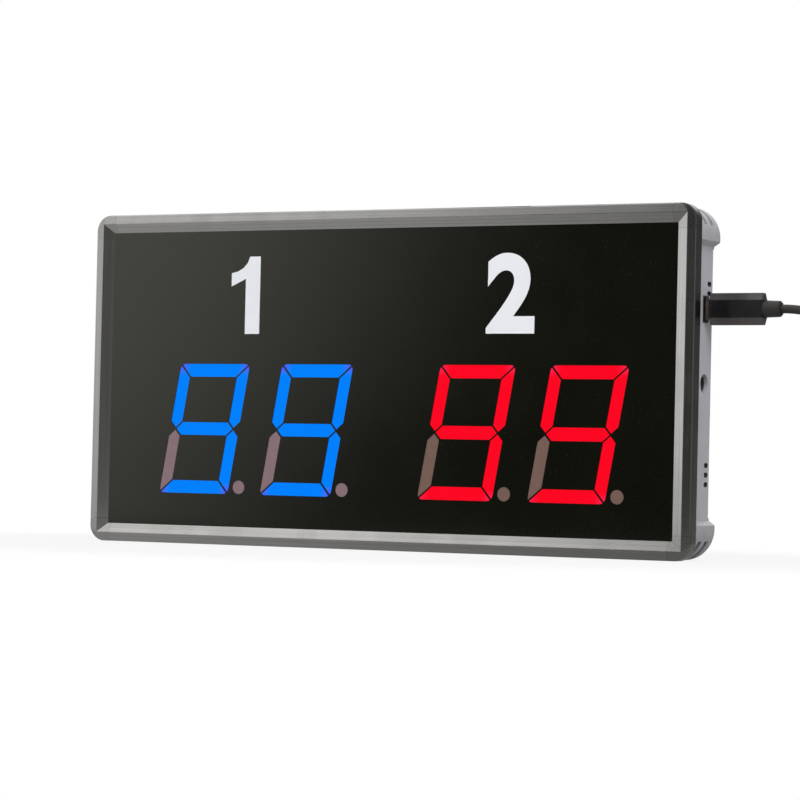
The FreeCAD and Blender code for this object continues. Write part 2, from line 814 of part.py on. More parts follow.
def guard_grooves(sign_x, sign_z, body):
    """Two broad grooves round the corner, parallel to the front."""
    cuts = []
    inner = rounded_plate(
        half_width - groove_depth,
        half_height - groove_depth,
        guard_corner_radius - groove_depth,
        front_y,
        rear_y,
    )
    for index in range(2):
        y = front_y + frame_depth + groove_first_depth + index * groove_pitch
        x_ends = sorted((sign_x * (half_width + cut_overrun), sign_x * (half_width - groove_leg)))
        z_ends = sorted((sign_z * (half_height + cut_overrun), sign_z * (half_height - groove_leg)))
        z_low, z_high = mid_height + z_ends[0], mid_height + z_ends[1]
        band = block(*x_ends, y - groove_width / 2, y + groove_width / 2, z_low, z_high)
        cuts.append(band.cut(inner))
    return body.cut(cuts)


def guard_profile(sign_x, sign_z):
    """Plan of the guard seen from the front: two legs whose ends slope down to the wall."""
    far = half_width + cut_overrun
    high = half_height + cut_overrun
    end_x = half_width - guard_leg
    end_z = half_height - guard_leg
    foot_x = end_x - guard_end_slope
    foot_z = end_z - guard_end_slope
    wall_x = case_half_width
    wall_z = case_half_height
    deep = case_corner_radius + case_wall
    points = [
        (foot_x, wall_z), (end_x, half_height), (end_x, high), (far, high), (far, end_z),
        (half_width, end_z), (wall_x, foot_z), (wall_x - deep, foot_z), (foot_x, wall_z - deep),
    ]
    return [Vector(sign_x * x, front_y, mid_height + sign_z * z) for x, z in points]


def make_corner_guards():
    """Tough corner guards: an outer wrap with grooves and a rear lip under the case screw."""
    front = frame_back_y + touch_gap
    wrap = rounded_plate(half_width, half_height, guard_corner_radius, front, rear_y)
    wrap = wrap.makeFillet(guard_edge_radius, outer_edges_at(wrap, rear_y))
    room = rounded_plate(
        case_half_width + guard_clearance,
        case_half_height + guard_clearance,
        case_corner_radius + guard_clearance,
        front - cut_overrun,
        rear_y - guard_lip_thickness,
    )
    for (sign_x, sign_z), name in corner_names.items():
        profile = Part.Face(loop_of(guard_profile(sign_x, sign_z)))
        legs = profile.extrude(Vector(0, overall_depth, 0))
        x_ends = sorted((sign_x * (half_width - guard_lip_reach), sign_x * case_half_width))
        z_ends = sorted((sign_z * (half_height - guard_lip_reach), sign_z * case_half_height))
        z_low, z_high = mid_height + z_ends[0], mid_height + z_ends[1]
        lip = block(*x_ends, rear_y - guard_lip_thickness, rear_y, z_low, z_high)
        guard = wrap.common(legs.fuse(lip)).cut(room)
        guard = guard_grooves(sign_x, sign_z, guard)
        countersink = countersunk_head(sign_x, sign_z, screw_hole_clearance)
        hole_radius = screw_radius + screw_hole_clearance
        hole = corner_boss(sign_x, sign_z, hole_radius, front, rear_y)
        save("corner_guard_" + name, guard.cut([countersink, hole]).removeSplitter())


def countersunk_head(sign_x, sign_z, grown):
    """Cone of a flush screw head, its wide end in the plane of the back."""
    place = Vector(sign_x * screw_x, rear_y, mid_height + sign_z * screw_z)
    wide = screw_head_radius + grown
    narrow = screw_radius + grown
    return Part.makeCone(wide, narrow, screw_head_height, place, Vector(0, -1, 0))


def make_case_screws():
    screws = []
    for sign_x in sides:
        for sign_z in sides:
            tip_y = rear_y - case_screw_length
            shank = corner_boss(sign_x, sign_z, screw_radius, tip_y, rear_y - screw_head_height)
            head = countersunk_head(sign_x, sign_z, 0.0)
            x, z = sign_x * screw_x, mid_height + sign_z * screw_z
            cross = cross_recess(x, z, rear_y - screw_cross_depth, rear_y + cut_overrun)
            screws.append(shank.fuse(head).cut(cross))
    save("case_screws", screws)


def make_power_board():
    """Small board with both sockets, held on two bosses inside the right wall."""
    middle_x = power_board_middle()
    board = rounded_plate(
        power_board_width / 2, power_board_height / 2, board_corner_radius,
        power_board_front_y, power_board_back_y, middle_x, power_board_middle_height,
    )
    holes = []
    screws = []
    hole_radius = screw_radius + screw_hole_clearance
    for x, z in power_screw_places():
        y_ends = (power_board_front_y - cut_overrun, power_board_back_y + cut_overrun)
        holes.append(rod_y(hole_radius, x, z, *y_ends))
        screws.append(pan_screw(x, z, power_board_front_y, power_screw_length))
    save("power_board", board.cut(holes))
    save("power_board_screws", screws)
    x = middle_x - power_board_width / 2 + capacitor_inset
    z = port_height - capacitor_below_port
    y_low = power_board_front_y - capacitor_length
    can = rod_y(capacitor_radius, x, z, y_low, power_board_front_y)
    save("filter_capacitor", can.makeChamfer(capacitor_edge, outer_edges_at(can, y_low)))


def header(x_mouth, y_low, y_high):
    """A white wire header: an open-fronted box whose mouth faces away from the right wall."""
    z_low = header_level - header_height / 2
    z_high = header_level + header_height / 2
    body = block(x_mouth, x_mouth + header_length, y_low, y_high, z_low, z_high)
    pocket = block(
        x_mouth - cut_overrun, x_mouth + header_pocket_depth,
        y_low + header_wall, y_high - header_wall,
        z_low + header_wall, z_high - header_wall,
    )
    return body.cut(pocket)


def wire_plug(x_mouth, axis_y):
    """Moulded plug on the wires' end, pushed home in its header."""
    reach = header_wall + wire_plug_clearance
    half_y = header_thickness / 2 - reach
    half_z = header_height / 2 - reach
    return block(
        x_mouth - wire_plug_proud, x_mouth + header_pocket_depth,
        axis_y - half_y, axis_y + half_y,
        header_level - half_z, header_level + half_z,
    )


def make_link():
    """Three wires in a U between the two boards, and the headers that they plug into."""
    power_mouth = power_board_middle() - power_board_width / 2
    display_mouth = power_mouth - display_header_setback
    power_axis_y = power_board_front_y - header_thickness / 2
    display_axis_y = board_back_y + header_thickness / 2
    headers = [
        header(power_mouth, power_board_front_y - header_thickness, power_board_front_y),
        header(display_mouth, board_back_y, board_back_y + header_thickness),
    ]
    save("link_headers", headers)
    wire_plugs = [
        wire_plug(power_mouth, power_axis_y),
        wire_plug(display_mouth, display_axis_y),
    ]
    save("link_plugs", wire_plugs)
    radius = (power_axis_y - display_axis_y) / 2
    bend_x = display_mouth - wire_run + radius
    wires = []
    for index in range(wire_count):
        z = header_level + (index - (wire_count - 1) / 2) * wire_pitch
        start = Vector(power_mouth - wire_plug_proud, power_axis_y, z)
        upper = Vector(bend_x, power_axis_y, z)
        lower = Vector(bend_x, display_axis_y, z)
        apex = Vector(bend_x - radius, (power_axis_y + display_axis_y) / 2, z)
        end = Vector(display_mouth - wire_plug_proud, display_axis_y, z)
        path = Part.Wire([
            Part.makeLine(start, upper),
            Part.Arc(upper, apex, lower).toShape(),
            Part.makeLine(lower, end),
        ])
        section = Part.Wire(Part.makeCircle(wire_radius, start, Vector(1, 0, 0)))
        wires.append(path.makePipeShell([section], True, False))
    save("link_wires", wires)


def socket_tube(half_y, half_z, x_low, x_high):
    return block(x_low, x_high, port_y - half_y, port_y + half_y, port_height - half_z, port_height + half_z)


def make_socket():
    """Metal socket shell with a flared mouth and board legs, and the tongue inside it."""
    mouth_x = case_half_width + socket_flange_proud
    back_x = mouth_x - socket_length
    inner_y, inner_z = socket_inner_depth / 2, socket_inner_height / 2
    outer_y, outer_z = inner_y + socket_wall, inner_z + socket_wall
    flange_y, flange_z = outer_y + socket_flange_reach, outer_z + socket_flange_reach
    shell = socket_tube(outer_y, outer_z, back_x, mouth_x)
    shell = shell.fuse(socket_tube(flange_y, flange_z, mouth_x - socket_flange_thickness, mouth_x))
    for share in socket_leg_shares:
        leg_x = back_x + share * socket_length
        for sign_z in sides:
            edges = sorted((sign_z * outer_z, sign_z * inner_z))
            leg_ends = (leg_x - socket_leg_width / 2, leg_x + socket_leg_width / 2)
            z_ends = (port_height + edges[0], port_height + edges[1])
            shell = shell.fuse(block(*leg_ends, port_y, power_board_front_y, *z_ends))
    hollow = socket_tube(inner_y, inner_z, back_x - cut_overrun, mouth_x + cut_overrun)
    save("usb_socket_shell", shell.cut(hollow).removeSplitter())
    tongue_low = port_y + plug_shell_depth / 2 - plug_shell_wall - touch_gap - socket_tongue_thickness
    tongue_high = tongue_low + socket_tongue_thickness
    back = socket_tube(inner_y, inner_z, back_x, back_x + socket_back_thickness)
    half = socket_tongue_height / 2
    tip_x = back_x + socket_back_thickness + socket_tongue_length
    tongue = block(back_x, tip_x, tongue_low, tongue_high, port_height - half, port_height + half)
    save("usb_socket_tongue", back.fuse(tongue).removeSplitter())


def make_jack():
    """Round power socket: a square moulded body, its bore and the pin on the bore's axis."""
    mouth_x = wall_inner_x - jack_recess
    back_x = mouth_x - jack_body_length
    half = jack_body_side / 2
    body = block(back_x, mouth_x, power_board_front_y - jack_body_side, power_board_front_y,
                 jack_height - half, jack_height + half)
    bore_bottom = mouth_x - jack_bore_length
    body = body.cut(rod_x(jack_bore_radius, port_y, jack_height, bore_bottom, mouth_x + cut_overrun))
    pin_root = bore_bottom - jack_pin_root
    body = body.cut(rod_x(jack_pin_radius, port_y, jack_height, pin_root, bore_bottom))
    save("power_jack_body", body)
    pin = rod_x(jack_pin_radius, port_y, jack_height, pin_root, mouth_x - jack_pin_setback)
    save("power_jack_pin", pin)


def plug_parts():
    """A plug whose grip starts at the origin and whose cord leaves along X."""
    half_y, half_z = plug_shell_depth / 2, plug_shell_height / 2
    wall = plug_shell_wall
    shell = block(-plug_shell_length, plug_shell_sunk, -half_y, half_y, -half_z, half_z)
    hollow = block(-plug_shell_length - cut_overrun, plug_shell_sunk + cut_overrun,
                   wall - half_y, half_y - wall, wall - half_z, half_z - wall)
    shell = shell.cut(hollow)
    core = block(-plug_shell_length + wall, plug_shell_sunk,
                 wall - half_y, wall - half_y + plug_core_thickness, wall - half_z, half_z - wall)
    grip_y, grip_z = grip_thickness / 2, grip_height / 2
    corners = []
    for sign_y, sign_z in ((1, 1), (-1, 1), (-1, -1), (1, -1)):
        beside = Vector(0, sign_y * grip_y, sign_z * (grip_z - grip_chamfer_height))
        above = Vector(0, sign_y * (grip_y - grip_chamfer_depth), sign_z * grip_z)
        corners += [beside, above] if sign_y * sign_z > 0 else [above, beside]
    grip = Part.Face(loop_of(corners)).extrude(Vector(grip_length, 0, 0))
    rims = []
    for edge in grip.Edges:
        box = edge.BoundBox
        if box.XMax - box.XMin < touch_gap:
            rims.append(edge)
    grip = grip.makeFillet(grip_edge_radius, rims)
    grip = grip.cut(block(0, plug_shell_sunk, -half_y, half_y, -half_z, half_z))
    relief = Part.makeCone(
        relief_start_radius, relief_end_radius, relief_length, Vector(grip_length, 0, 0), Vector(1, 0, 0)
    )
    relief_end = grip_length + relief_length
    end_rim = [e for e in relief.Edges if e.BoundBox.XMin > relief_end - touch_gap]
    relief = relief.makeChamfer(relief_edge, end_rim)
    return {"shell": shell, "core": core, "grip": grip, "strain_relief": relief}


def make_plug(prefix, place):
    for name, shape in plug_parts().items():
        copy = shape.copy()
        copy.Placement = place
        save(prefix + "_" + name, copy)


def tube_path(points):
    """Straight runs joined by tangent arcs, each arc as large as its two runs allow."""
    edges = []
    last = points[0]
    radii = []
    for before, corner, after in zip(points, points[1:], points[2:]):
        into = (corner - before).normalize()
        out_of = (after - corner).normalize()
        half_turn = into.getAngle(out_of) / 2
        shorter = min((corner - before).Length, (after - corner).Length)
        reach = arc_share * shorter
        radius = reach / math.tan(half_turn)
        start = corner - into * reach
        end = corner + out_of * reach
        inward = (out_of - into).normalize()
        centre_distance = radius / math.cos(half_turn)
        middle = corner + inward * (centre_distance - radius)
        edges.append(Part.makeLine(last, start))
        edges.append(Part.Arc(start, middle, end).toShape())
        last = end
        radii.append(radius)
    edges.append(Part.makeLine(last, points[-1]))
    return Part.Wire(edges), radii


def make_cord():
    points = [Vector(*point) for point in cord_route]
    path, radii = tube_path(points)
    along = (points[1] - points[0]).normalize()
    section = Part.Wire(Part.makeCircle(cord_diameter / 2, points[0], along))
    tube = path.makePipeShell([section], True, False)
    save("power_cord", tube)
    expected = math.pi * cord_diameter ** 2 / 4 * path.Length
    print("cord arc radii", [round(radius, 1) for radius in radii])
    print("cord length", round(path.Length, 1), "volume ratio", round(tube.Volume / expected, 4))
    return path.Length


def arc_towards(start, corner, end):
    """Arc from start to end whose end tangents cross at the corner."""
    chord_middle = (start + end) * 0.5
    half_turn = (corner - start).getAngle(end - start)
    share = math.tan(half_turn / 2) / math.tan(half_turn)
    return Part.Arc(start, chord_middle + (corner - chord_middle) * share, end).toShape()


def biarc(start, start_tangent, end, end_tangent):
    """Two arcs that leave along one tangent, arrive along the other and join smoothly."""
    span = end - start
    both = start_tangent + end_tangent
    spread = 2 * (1 - start_tangent.dot(end_tangent))
    if spread < 1e-9:
        reach = span.Length / 4 / max(start_tangent.dot(span) / span.Length, 0.5)
    else:
        along = span.dot(both)
        reach = (math.sqrt(along ** 2 + spread * span.dot(span)) - along) / spread
    first = start + start_tangent * reach
    second = end - end_tangent * reach
    join = (first + second) * 0.5
    return [arc_towards(start, first, join), arc_towards(join, second, end)]


def hank_middle():
    """Middle of the hank at the level of its upper layer: the cord comes in through the waist."""
    start = Vector(*cord_route[-1])
    x = start.x + cord_diameter - hank_waist_length / 2
    y = start.y + hank_reach(0) - hank_waist_draw
    return Vector(x, y, start.z - tie_thickness - tie_clearance)


def hank_turning():
    """Number of the run on which the rounds stop closing in and start opening out again."""
    return 2 * hank_rounds_per_layer - 1


def hank_reach(run):
    """Distance of a run from the hank's middle line, away from the waist."""
    inmost = hank_fold_radius - hank_step / 4
    return inmost + abs(hank_turning() - run) * hank_step / 2


def hank_drop(run, at_start):
    """Whole layer below the first one, or half of it at the waist of the run that goes down."""
    if run != hank_turning():
        return hank_layer_step if run > hank_turning() else 0
    return 0 if at_start else hank_layer_step


def hank_stations(run):
    """Four places of a run, all of them heading along X: start, waist, end of waist, end."""
    middle = hank_middle()
    way = 1 if run % 2 == 0 else -1
    lift = Vector(0, 0, tie_thickness + tie_clearance)
    low, high = hank_drop(run, False), hank_drop(run, True)
    outside = -way * hank_reach(run)
    drawn_in = -way * (hank_reach(run) - hank_waist_draw)
    ends = [(-hank_run / 2, outside, high), (hank_run / 2, outside, low)]
    waist = [(-hank_waist_length / 2, drawn_in), (hank_waist_length / 2, drawn_in)]
    start, end = [middle + Vector(way * x, y, -drop) for x, y, drop in ends]
    first, last = [middle + Vector(way * x, y, -(low + high) / 2) + lift for x, y in waist]
    return [start, first, last, end]


def hank_fold(start, end):
    """Half circle from the end of one run to the start of the next."""
    between = (start + end) * 0.5
    way = math.copysign((start - end).Length / 2, between.x - hank_middle().x)
    return Part.Arc(start, between + Vector(way, 0, 0), end).toShape()


def make_hank():
    """The tied length as one tube, then a short tail that comes up to the far plug's axis."""
    start = Vector(*cord_route[-1])
    heading = Vector(1, 0, 0)
    last_run = 2 * hank_turning()
    edges = []
    for run in range(last_run + 1):
        along = heading if run % 2 == 0 else -heading
        begin, first, last, end = hank_stations(run)
        if run == 0:
            first = start
        else:
            edges.append(hank_fold(previous, begin))
            edges += biarc(begin, along, first, along)
        edges.append(Part.makeLine(first, last))
        edges += biarc(last, along, end, along)
        previous = end
    clear = previous + Vector(tail_run, tail_aside, 0)
    edges += biarc(previous, heading, clear, heading)
    tail = clear + Vector(tail_rise_run, 0, relief_start_radius - clear.z)
    edges += biarc(clear, heading, tail, heading)
    finish = tail + heading * cord_diameter
    edges.append(Part.makeLine(tail, finish))
    path = Part.Wire(edges)
    section = Part.Wire(Part.makeCircle(cord_diameter / 2, start, heading))
    hank = path.makePipeShell([section], True, False)
    save("power_cord_hank", hank)
    expected = math.pi * cord_diameter ** 2 / 4 * path.Length
    print("hank length", round(path.Length, 1), "volume ratio", round(hank.Volume / expected, 4))
    print("hank least gap to itself", round(least_gap(path), 2))
    return finish, heading, path.Length


def least_gap(path):
    """Smallest distance between turns of the tube, taken on points along its line."""
    step = cord_diameter / 4
    points = path.discretize(Distance=step)
    away = int(math.pi * hank_fold_radius / step)
    least = min(
        (points[first] - points[second]).Length
        for first in range(len(points))
        for second in range(first + away, len(points))
    )
    return least - cord_diameter


def make_tie():
    """A closed strap round all the runs at the hank's waist."""
    middle = hank_middle()
    room = cord_diameter / 2 + tie_clearance
    front = middle.y - hank_reach(0) + hank_waist_draw - room
    back = middle.y + hank_reach(1) - hank_waist_draw + room
    top = cord_route[-1][-1] + room
    bottom = cord_route[-1][-1] - hank_layer_step - room
    half = tie_width / 2
    thick = tie_thickness
    strap = block(middle.x - half, middle.x + half, front - thick, back + thick, bottom - thick, top + thick)
    inside = block(
        middle.x - half - cut_overrun, middle.x + half + cut_overrun, front, back, bottom, top,
    )
    save("hank_tie", strap.cut(inside))


def make_power_lead():
    """Plug in the socket, cord, tied hank and the plug on the far end."""
    grip_start = case_half_width + socket_flange_proud + plug_stand_off
    make_plug("plug", FreeCAD.Placement(Vector(grip_start, port_y, port_height), FreeCAD.Rotation()))
    cord_length = make_cord()
    end, heading, hank_length = make_hank()
    make_tie()
    plug_reach = grip_length + relief_length
    turn_about = FreeCAD.Rotation(Vector(1, 0, 0), 90)
    swing = FreeCAD.Rotation(Vector(0, 0, 1), math.degrees(math.atan2(-heading.y, -heading.x)))
    place = end + heading * plug_reach
    make_plug("far_plug", FreeCAD.Placement(place, swing.multiply(turn_about)))
    print("lead length", round(cord_length + hank_length, 1))


os.makedirs("parts", exist_ok=True)
frame = whole_frame()
make_rails(frame)
make_frame_corners(frame)
make_front_panel()
make_digits()
make_display_board()
make_rear_case()
make_corner_guards()
make_case_screws()
make_power_board()
make_link()
make_socket()
make_jack()
make_power_lead()
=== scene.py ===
import math
import bmesh
import bpy
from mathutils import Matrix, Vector


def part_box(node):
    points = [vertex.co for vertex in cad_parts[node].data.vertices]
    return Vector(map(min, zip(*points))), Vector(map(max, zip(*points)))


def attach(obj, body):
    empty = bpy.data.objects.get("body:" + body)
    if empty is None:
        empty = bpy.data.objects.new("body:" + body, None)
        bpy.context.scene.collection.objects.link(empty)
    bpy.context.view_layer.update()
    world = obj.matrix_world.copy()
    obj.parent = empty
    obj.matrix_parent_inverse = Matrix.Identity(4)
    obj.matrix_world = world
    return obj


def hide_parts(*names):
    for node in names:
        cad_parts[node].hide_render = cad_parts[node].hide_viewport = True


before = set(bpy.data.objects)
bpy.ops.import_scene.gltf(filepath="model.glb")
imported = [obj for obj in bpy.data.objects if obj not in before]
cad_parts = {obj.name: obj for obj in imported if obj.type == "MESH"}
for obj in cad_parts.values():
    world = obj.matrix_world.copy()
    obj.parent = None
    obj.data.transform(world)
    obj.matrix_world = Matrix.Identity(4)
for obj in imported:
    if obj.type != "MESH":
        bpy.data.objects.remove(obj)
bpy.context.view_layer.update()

mm = 0.001


# Camera and room: a long lens stands low and well to the right. The room is dark, with a pale wall
# behind the table and a large lit screen on the left; metal and gloss mirror it by direction.

class Wire:
    """One socket of a node tree; a sum written on wires adds its own Math nodes."""

    def __init__(self, tree, socket=None):
        self.tree = tree
        self.socket = socket

    def node(self, kind, settings, inputs, output=0):
        """Adds a node with its settings, then a value or a wire for each of its inputs."""
        made = self.tree.nodes.new(kind)
        for name, value in settings.items():
            setattr(made, name, value)
        for name, value in inputs.items():
            if isinstance(value, Wire):
                self.tree.links.new(value.socket, made.inputs[name])
            else:
                made.inputs[name].default_value = value
        return Wire(self.tree, made.outputs[output] if made.outputs else None)

    def also(self, output):
        """Another output of the same node."""
        return Wire(self.tree, self.socket.node.outputs[output])

    def maths(self, operation, *values):
        return self.node("ShaderNodeMath", {"operation": operation}, dict(enumerate(values)))

    def __add__(self, other):
        return self.maths("ADD", self, other)

    def __radd__(self, other):
        return self.maths("ADD", other, self)

    def __sub__(self, other):
        return self.maths("SUBTRACT", self, other)

    def __rsub__(self, other):
        return self.maths("SUBTRACT", other, self)

    def __mul__(self, other):
        return self.maths("MULTIPLY", self, other)

    def __rmul__(self, other):
        return self.maths("MULTIPLY", other, self)

    def __truediv__(self, other):
        return self.maths("DIVIDE", self, other)

    def __rtruediv__(self, other):
        return self.maths("DIVIDE", other, self)

    def __abs__(self):
        return self.maths("ABSOLUTE", self)

    def least(self, other):
        return self.maths("MINIMUM", self, other)

    def most(self, other):
        return self.maths("MAXIMUM", self, other)

    def root(self):
        return self.maths("SQRT", self)

    def rise(self, low, high):
        """0 below low, 1 above high, smooth between them."""
        ends = {"Value": self, "From Min": low, "From Max": high}
        return self.node("ShaderNodeMapRange", {"interpolation_type": "SMOOTHSTEP"}, ends)

    def mix(self, first, second):
        """The first colour where the wire is 0, the second where it is 1."""
        colours = {0: self, 6: first, 7: second}
        return self.node("ShaderNodeMix", {"data_type": "RGBA"}, colours, 2)

    def cloud(self, size, detail=2.0):
        """Noise on a place, its patches about size metres wide."""
        fixed = {"Vector": self, "Scale": 1 / size, "Detail": detail}
        return self.node("ShaderNodeTexNoise", {}, fixed)

    def drawn(self, stretch):
        """The place with each axis scaled, so that a pattern is drawn out along a small one."""
        return self.node("ShaderNodeMapping", {}, {"Vector": self, "Scale": stretch})

    def apart(self):
        """The place's X, Y and Z."""
        first = self.node("ShaderNodeSeparateXYZ", {}, {"Vector": self})
        return first, first.also("Y"), first.also("Z")

    def relief(self, depth):
        """The wire as a height of so many metres, for a shader's Normal."""
        fixed = {"Height": self, "Distance": depth, "Strength": 1.0}
        return self.node("ShaderNodeBump", {}, fixed)


def paint(red, green, blue):
    """A colour written as display values from 0 to 255."""
    shares = [value / 255 for value in (red, green, blue)]
    linear = [s / 12.92 if s <= 0.04045 else ((s + 0.055) / 1.055) ** 2.4 for s in shares]
    return tuple(linear) + (1.0,)


def darker(colour, share):
    """The colour with that share of its light."""
    return tuple(value * share for value in colour[:3]) + (1.0,)


camera_lens = 139.0767
camera_sensor = 36.0
camera_place = (0.87217498, -1.60257480, 0.04758613)
camera_turn = (91.28993521, -1.28513022, 28.36813102)
camera_data = bpy.data.cameras.new("camera")
camera_data.lens = camera_lens
camera_data.sensor_width = camera_sensor
camera = bpy.data.objects.new("camera", camera_data)
camera.location = camera_place
camera.rotation_euler = [math.radians(angle) for angle in camera_turn]
bpy.context.scene.collection.objects.link(camera)
bpy.context.scene.camera = camera
bpy.context.scene.view_settings.view_transform = "Standard"

dark_level = 0.045
right_level = 0.07
right_from = (-0.42, -0.2)
far_right_level = 0.22
far_right_from = (0.05, 0.30)
far_right_forward = (0.1, 0.4)
wall_level = 1.0
wall_depth = (0.25, 0.75)
wall_foot = (-0.2, 0.05)
wall_end = (-0.05, 0.25)
ceiling_level = 0.14
ceiling_from = (0.45, 1.0)
screen_level = 1.76
screen_height_gain = 0.40
screen_edge = 0.5475
screen_edge_soft = 0.0775
screen_edge_crisp = 0.025
screen_crisp_from = (0.2, 0.6)
screen_lean = 0.0636
screen_bend = 0.05
screen_slope = 0.107
screen_fade = 0.46
screen_fade_from = (0.50, 0.70)
screen_fade_end = (-1.04, -0.78)
screen_wall_share = 0.5
white = (1.0, 1.0, 1.0, 1.0)
world = bpy.data.worlds.new("room")
bpy.context.scene.world = world
world.use_nodes = True
world.node_tree.nodes.clear()
room = Wire(world.node_tree)
across, away, upward = room.node("ShaderNodeTexCoord", {}, {}, "Generated").apart()
ray = room.node("ShaderNodeLightPath", {}, {}, "Is Camera Ray")
wall_shown = 1 - across.rise(*wall_end) * ray.also("Is Glossy Ray")
behind = away.rise(*wall_depth) * upward.rise(*wall_foot) * wall_shown
overhead = upward.rise(*ceiling_from)
lift = upward.most(0.0)
lean = lift * screen_lean / (lift + screen_bend) + lift * screen_slope
crisp = upward.rise(*screen_crisp_from)
softness = screen_edge_soft + crisp * (screen_edge_crisp - screen_edge_soft)
screen = ((lean - across - screen_edge) / softness).rise(-1.0, 1.0)
screen = screen * (1 - behind * screen_wall_share)
faded = (0 - across).rise(*screen_fade_from) * across.rise(*screen_fade_end)
screen = screen * (1 - faded * screen_fade)
far_right = across.rise(*far_right_from) * (0 - away).rise(*far_right_forward)
level = dark_level + across.rise(*right_from) * (right_level - dark_level)
level = level + far_right * (far_right_level - right_level)
level = level + behind * (wall_level - level)
level = level + overhead * (1 - behind) * ceiling_level
level = level + screen * (screen_level + overhead * screen_height_gain - level)
seen = ray.most(ray.also("Is Transmission Ray"))
level = level + seen * (1 - level)
sky = room.node("ShaderNodeBackground", {}, {"Color": white, "Strength": level})
room.node("ShaderNodeOutputWorld", {}, {"Surface": sky})


# Lamps: a small soft one on the left, a large one above the camera and one on the right for the
# case's wall. They only light matt surfaces; a mirror image of them would draw bright lines.

lamp_target = Vector((0.0, -0.018, 0.10))
lamps = {
    "side_lamp": ((-0.75, -0.45, 0.55), (0.35, 0.70), 0.3),
    "fill_lamp": ((0.85, -1.35, 1.75), (2.20, 1.60), 52.0),
    "wall_lamp": ((1.50, -0.35, 0.65), (0.80, 0.80), 4.5),
}
for name, (place, size, power) in lamps.items():
    lamp_data = bpy.data.lights.new(name, "AREA")
    lamp_data.shape = "RECTANGLE"
    lamp_data.size, lamp_data.size_y = size
    lamp_data.energy = power
    lamp = bpy.data.objects.new(name, lamp_data)
    lamp.location = place
    lamp.visible_glossy = False
    lamp.rotation_euler = (lamp_target - Vector(place)).to_track_quat("-Z", "Y").to_euler()
    bpy.context.scene.collection.objects.link(lamp)


# Table: a white top that takes the object's shadow close to it and none further out. In a mirror
# it is a grey that falls off to the right, close to the object and towards the camera.

table_low = (-2.5, -0.45)
table_high = (2.5, 2.5)
table_drop = 0.02 * mm
table_grey = (0.45, 0.45, 0.45, 1.0)
table_near_white = 0.86
table_shadow_edge = (0.238, 0.425)
table_shadow_stretch = 1.7
table_mirror_left = 0.70
table_mirror_right = 0.33
table_mirror_fall = (-0.24, 0.24)
table_mirror_aside = 0.22
table_mirror_past = (0.24, 0.36)
table_mirror_near = 0.16
table_mirror_near_edge = (-0.12, -0.05)
table_mirror_far = 0.75
table_mirror_far_edge = (0.16, 0.36)
table_mesh = bpy.data.meshes.new("table_top")
corners = [(table_low[0], table_low[1], 0), (table_high[0], table_low[1], 0),
           (table_high[0], table_high[1], 0), (table_low[0], table_high[1], 0)]
table_mesh.from_pydata(corners, [], [(0, 1, 2, 3)])
table = bpy.data.objects.new("table_top", table_mesh)
bpy.context.scene.collection.objects.link(table)
table.location.z = -table_drop
table_paint = bpy.data.materials.new("table_top")
table_paint.use_nodes = True
table_paint.node_tree.nodes.clear()
top = Wire(table_paint.node_tree)
spot_x, spot_y, _ = top.node("ShaderNodeTexCoord", {}, {}, "Object").apart()
seen = top.node("ShaderNodeLightPath", {}, {}, "Is Camera Ray")
mirrored = seen.also("Is Glossy Ray").most(seen.also("Is Transmission Ray"))
from_middle = (spot_x * spot_x + spot_y * spot_y * table_shadow_stretch).root()
clear = from_middle.rise(*table_shadow_edge)
share = seen * (table_near_white + clear * (1 - table_near_white)) + mirrored
fall = spot_x.rise(*table_mirror_fall)
past = spot_x.rise(*table_mirror_past)
sheen = table_mirror_left + fall * (table_mirror_right - table_mirror_left)
sheen = sheen + past * (table_mirror_aside - table_mirror_right)
sheen = sheen * (1 - spot_y.rise(*table_mirror_near_edge) * table_mirror_near)
sheen = sheen * (1 - (0 - spot_y).rise(*table_mirror_far_edge) * table_mirror_far)
glow = seen + (1 - seen) * sheen
matt = top.node("ShaderNodeBsdfDiffuse", {}, {"Color": table_grey})
lit = top.node("ShaderNodeEmission", {}, {"Color": white, "Strength": glow})
cover = top.node("ShaderNodeMixShader", {}, {0: share, 1: matt, 2: lit})
top.node("ShaderNodeOutputMaterial", {}, {"Surface": cover})
table_mesh.materials.append(table_paint)


# Front frame: four aluminium extrusions, almost flat outside and bevelled towards the panel, drawn
# through a die and satin finished, so fine lines run along each of them. They slide on to pegs of
# the corner pieces.

def finish(name, fixed, varying):
    """A material: fixed numbers on the shader's own sockets, varying(place) for linked ones."""
    made = bpy.data.materials.new(name)
    made.use_nodes = True
    tree = made.node_tree
    shader = tree.nodes["Principled BSDF"]
    for socket, value in fixed.items():
        shader.inputs[socket].default_value = value
    place = Wire(tree).node("ShaderNodeTexCoord", {}, {}, "Object")
    for socket, wire in varying(place).items():
        tree.links.new(wire.socket, shader.inputs[socket])
    return made


def dress(material, *names):
    """Gives the material to the named CAD nodes."""
    for name in names:
        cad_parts[name].material_slots[0].material = material


frame_shade = paint(145, 144, 142)
frame_shade_worn = paint(164, 163, 161)
frame_roughness = 0.23
die_line = 0.16 * mm
die_band = 1.44 * mm
die_line_depth = 0.004 * mm
die_line_stretch = 0.004
handled_patch = 22 * mm


def extruded(name, stretch):
    """Satin aluminium with die lines along the axis whose stretch is small."""
    def varying(place):
        lines = place.drawn(stretch).cloud(die_line, 3.0)
        bands = place.drawn(stretch).cloud(die_band, 1.0)
        handled = place.cloud(handled_patch, 3.0).rise(0.42, 0.72)
        worn = (lines * 0.6 + bands * 0.4).rise(0.3, 0.7)
        return {
            "Base Color": worn.mix(frame_shade, frame_shade_worn),
            "Roughness": frame_roughness + (lines - 0.5) * 0.12 + handled * 0.05,
            "Normal": (lines + bands).relief(die_line_depth),
        }
    return finish(name, {"Metallic": 1.0}, varying)


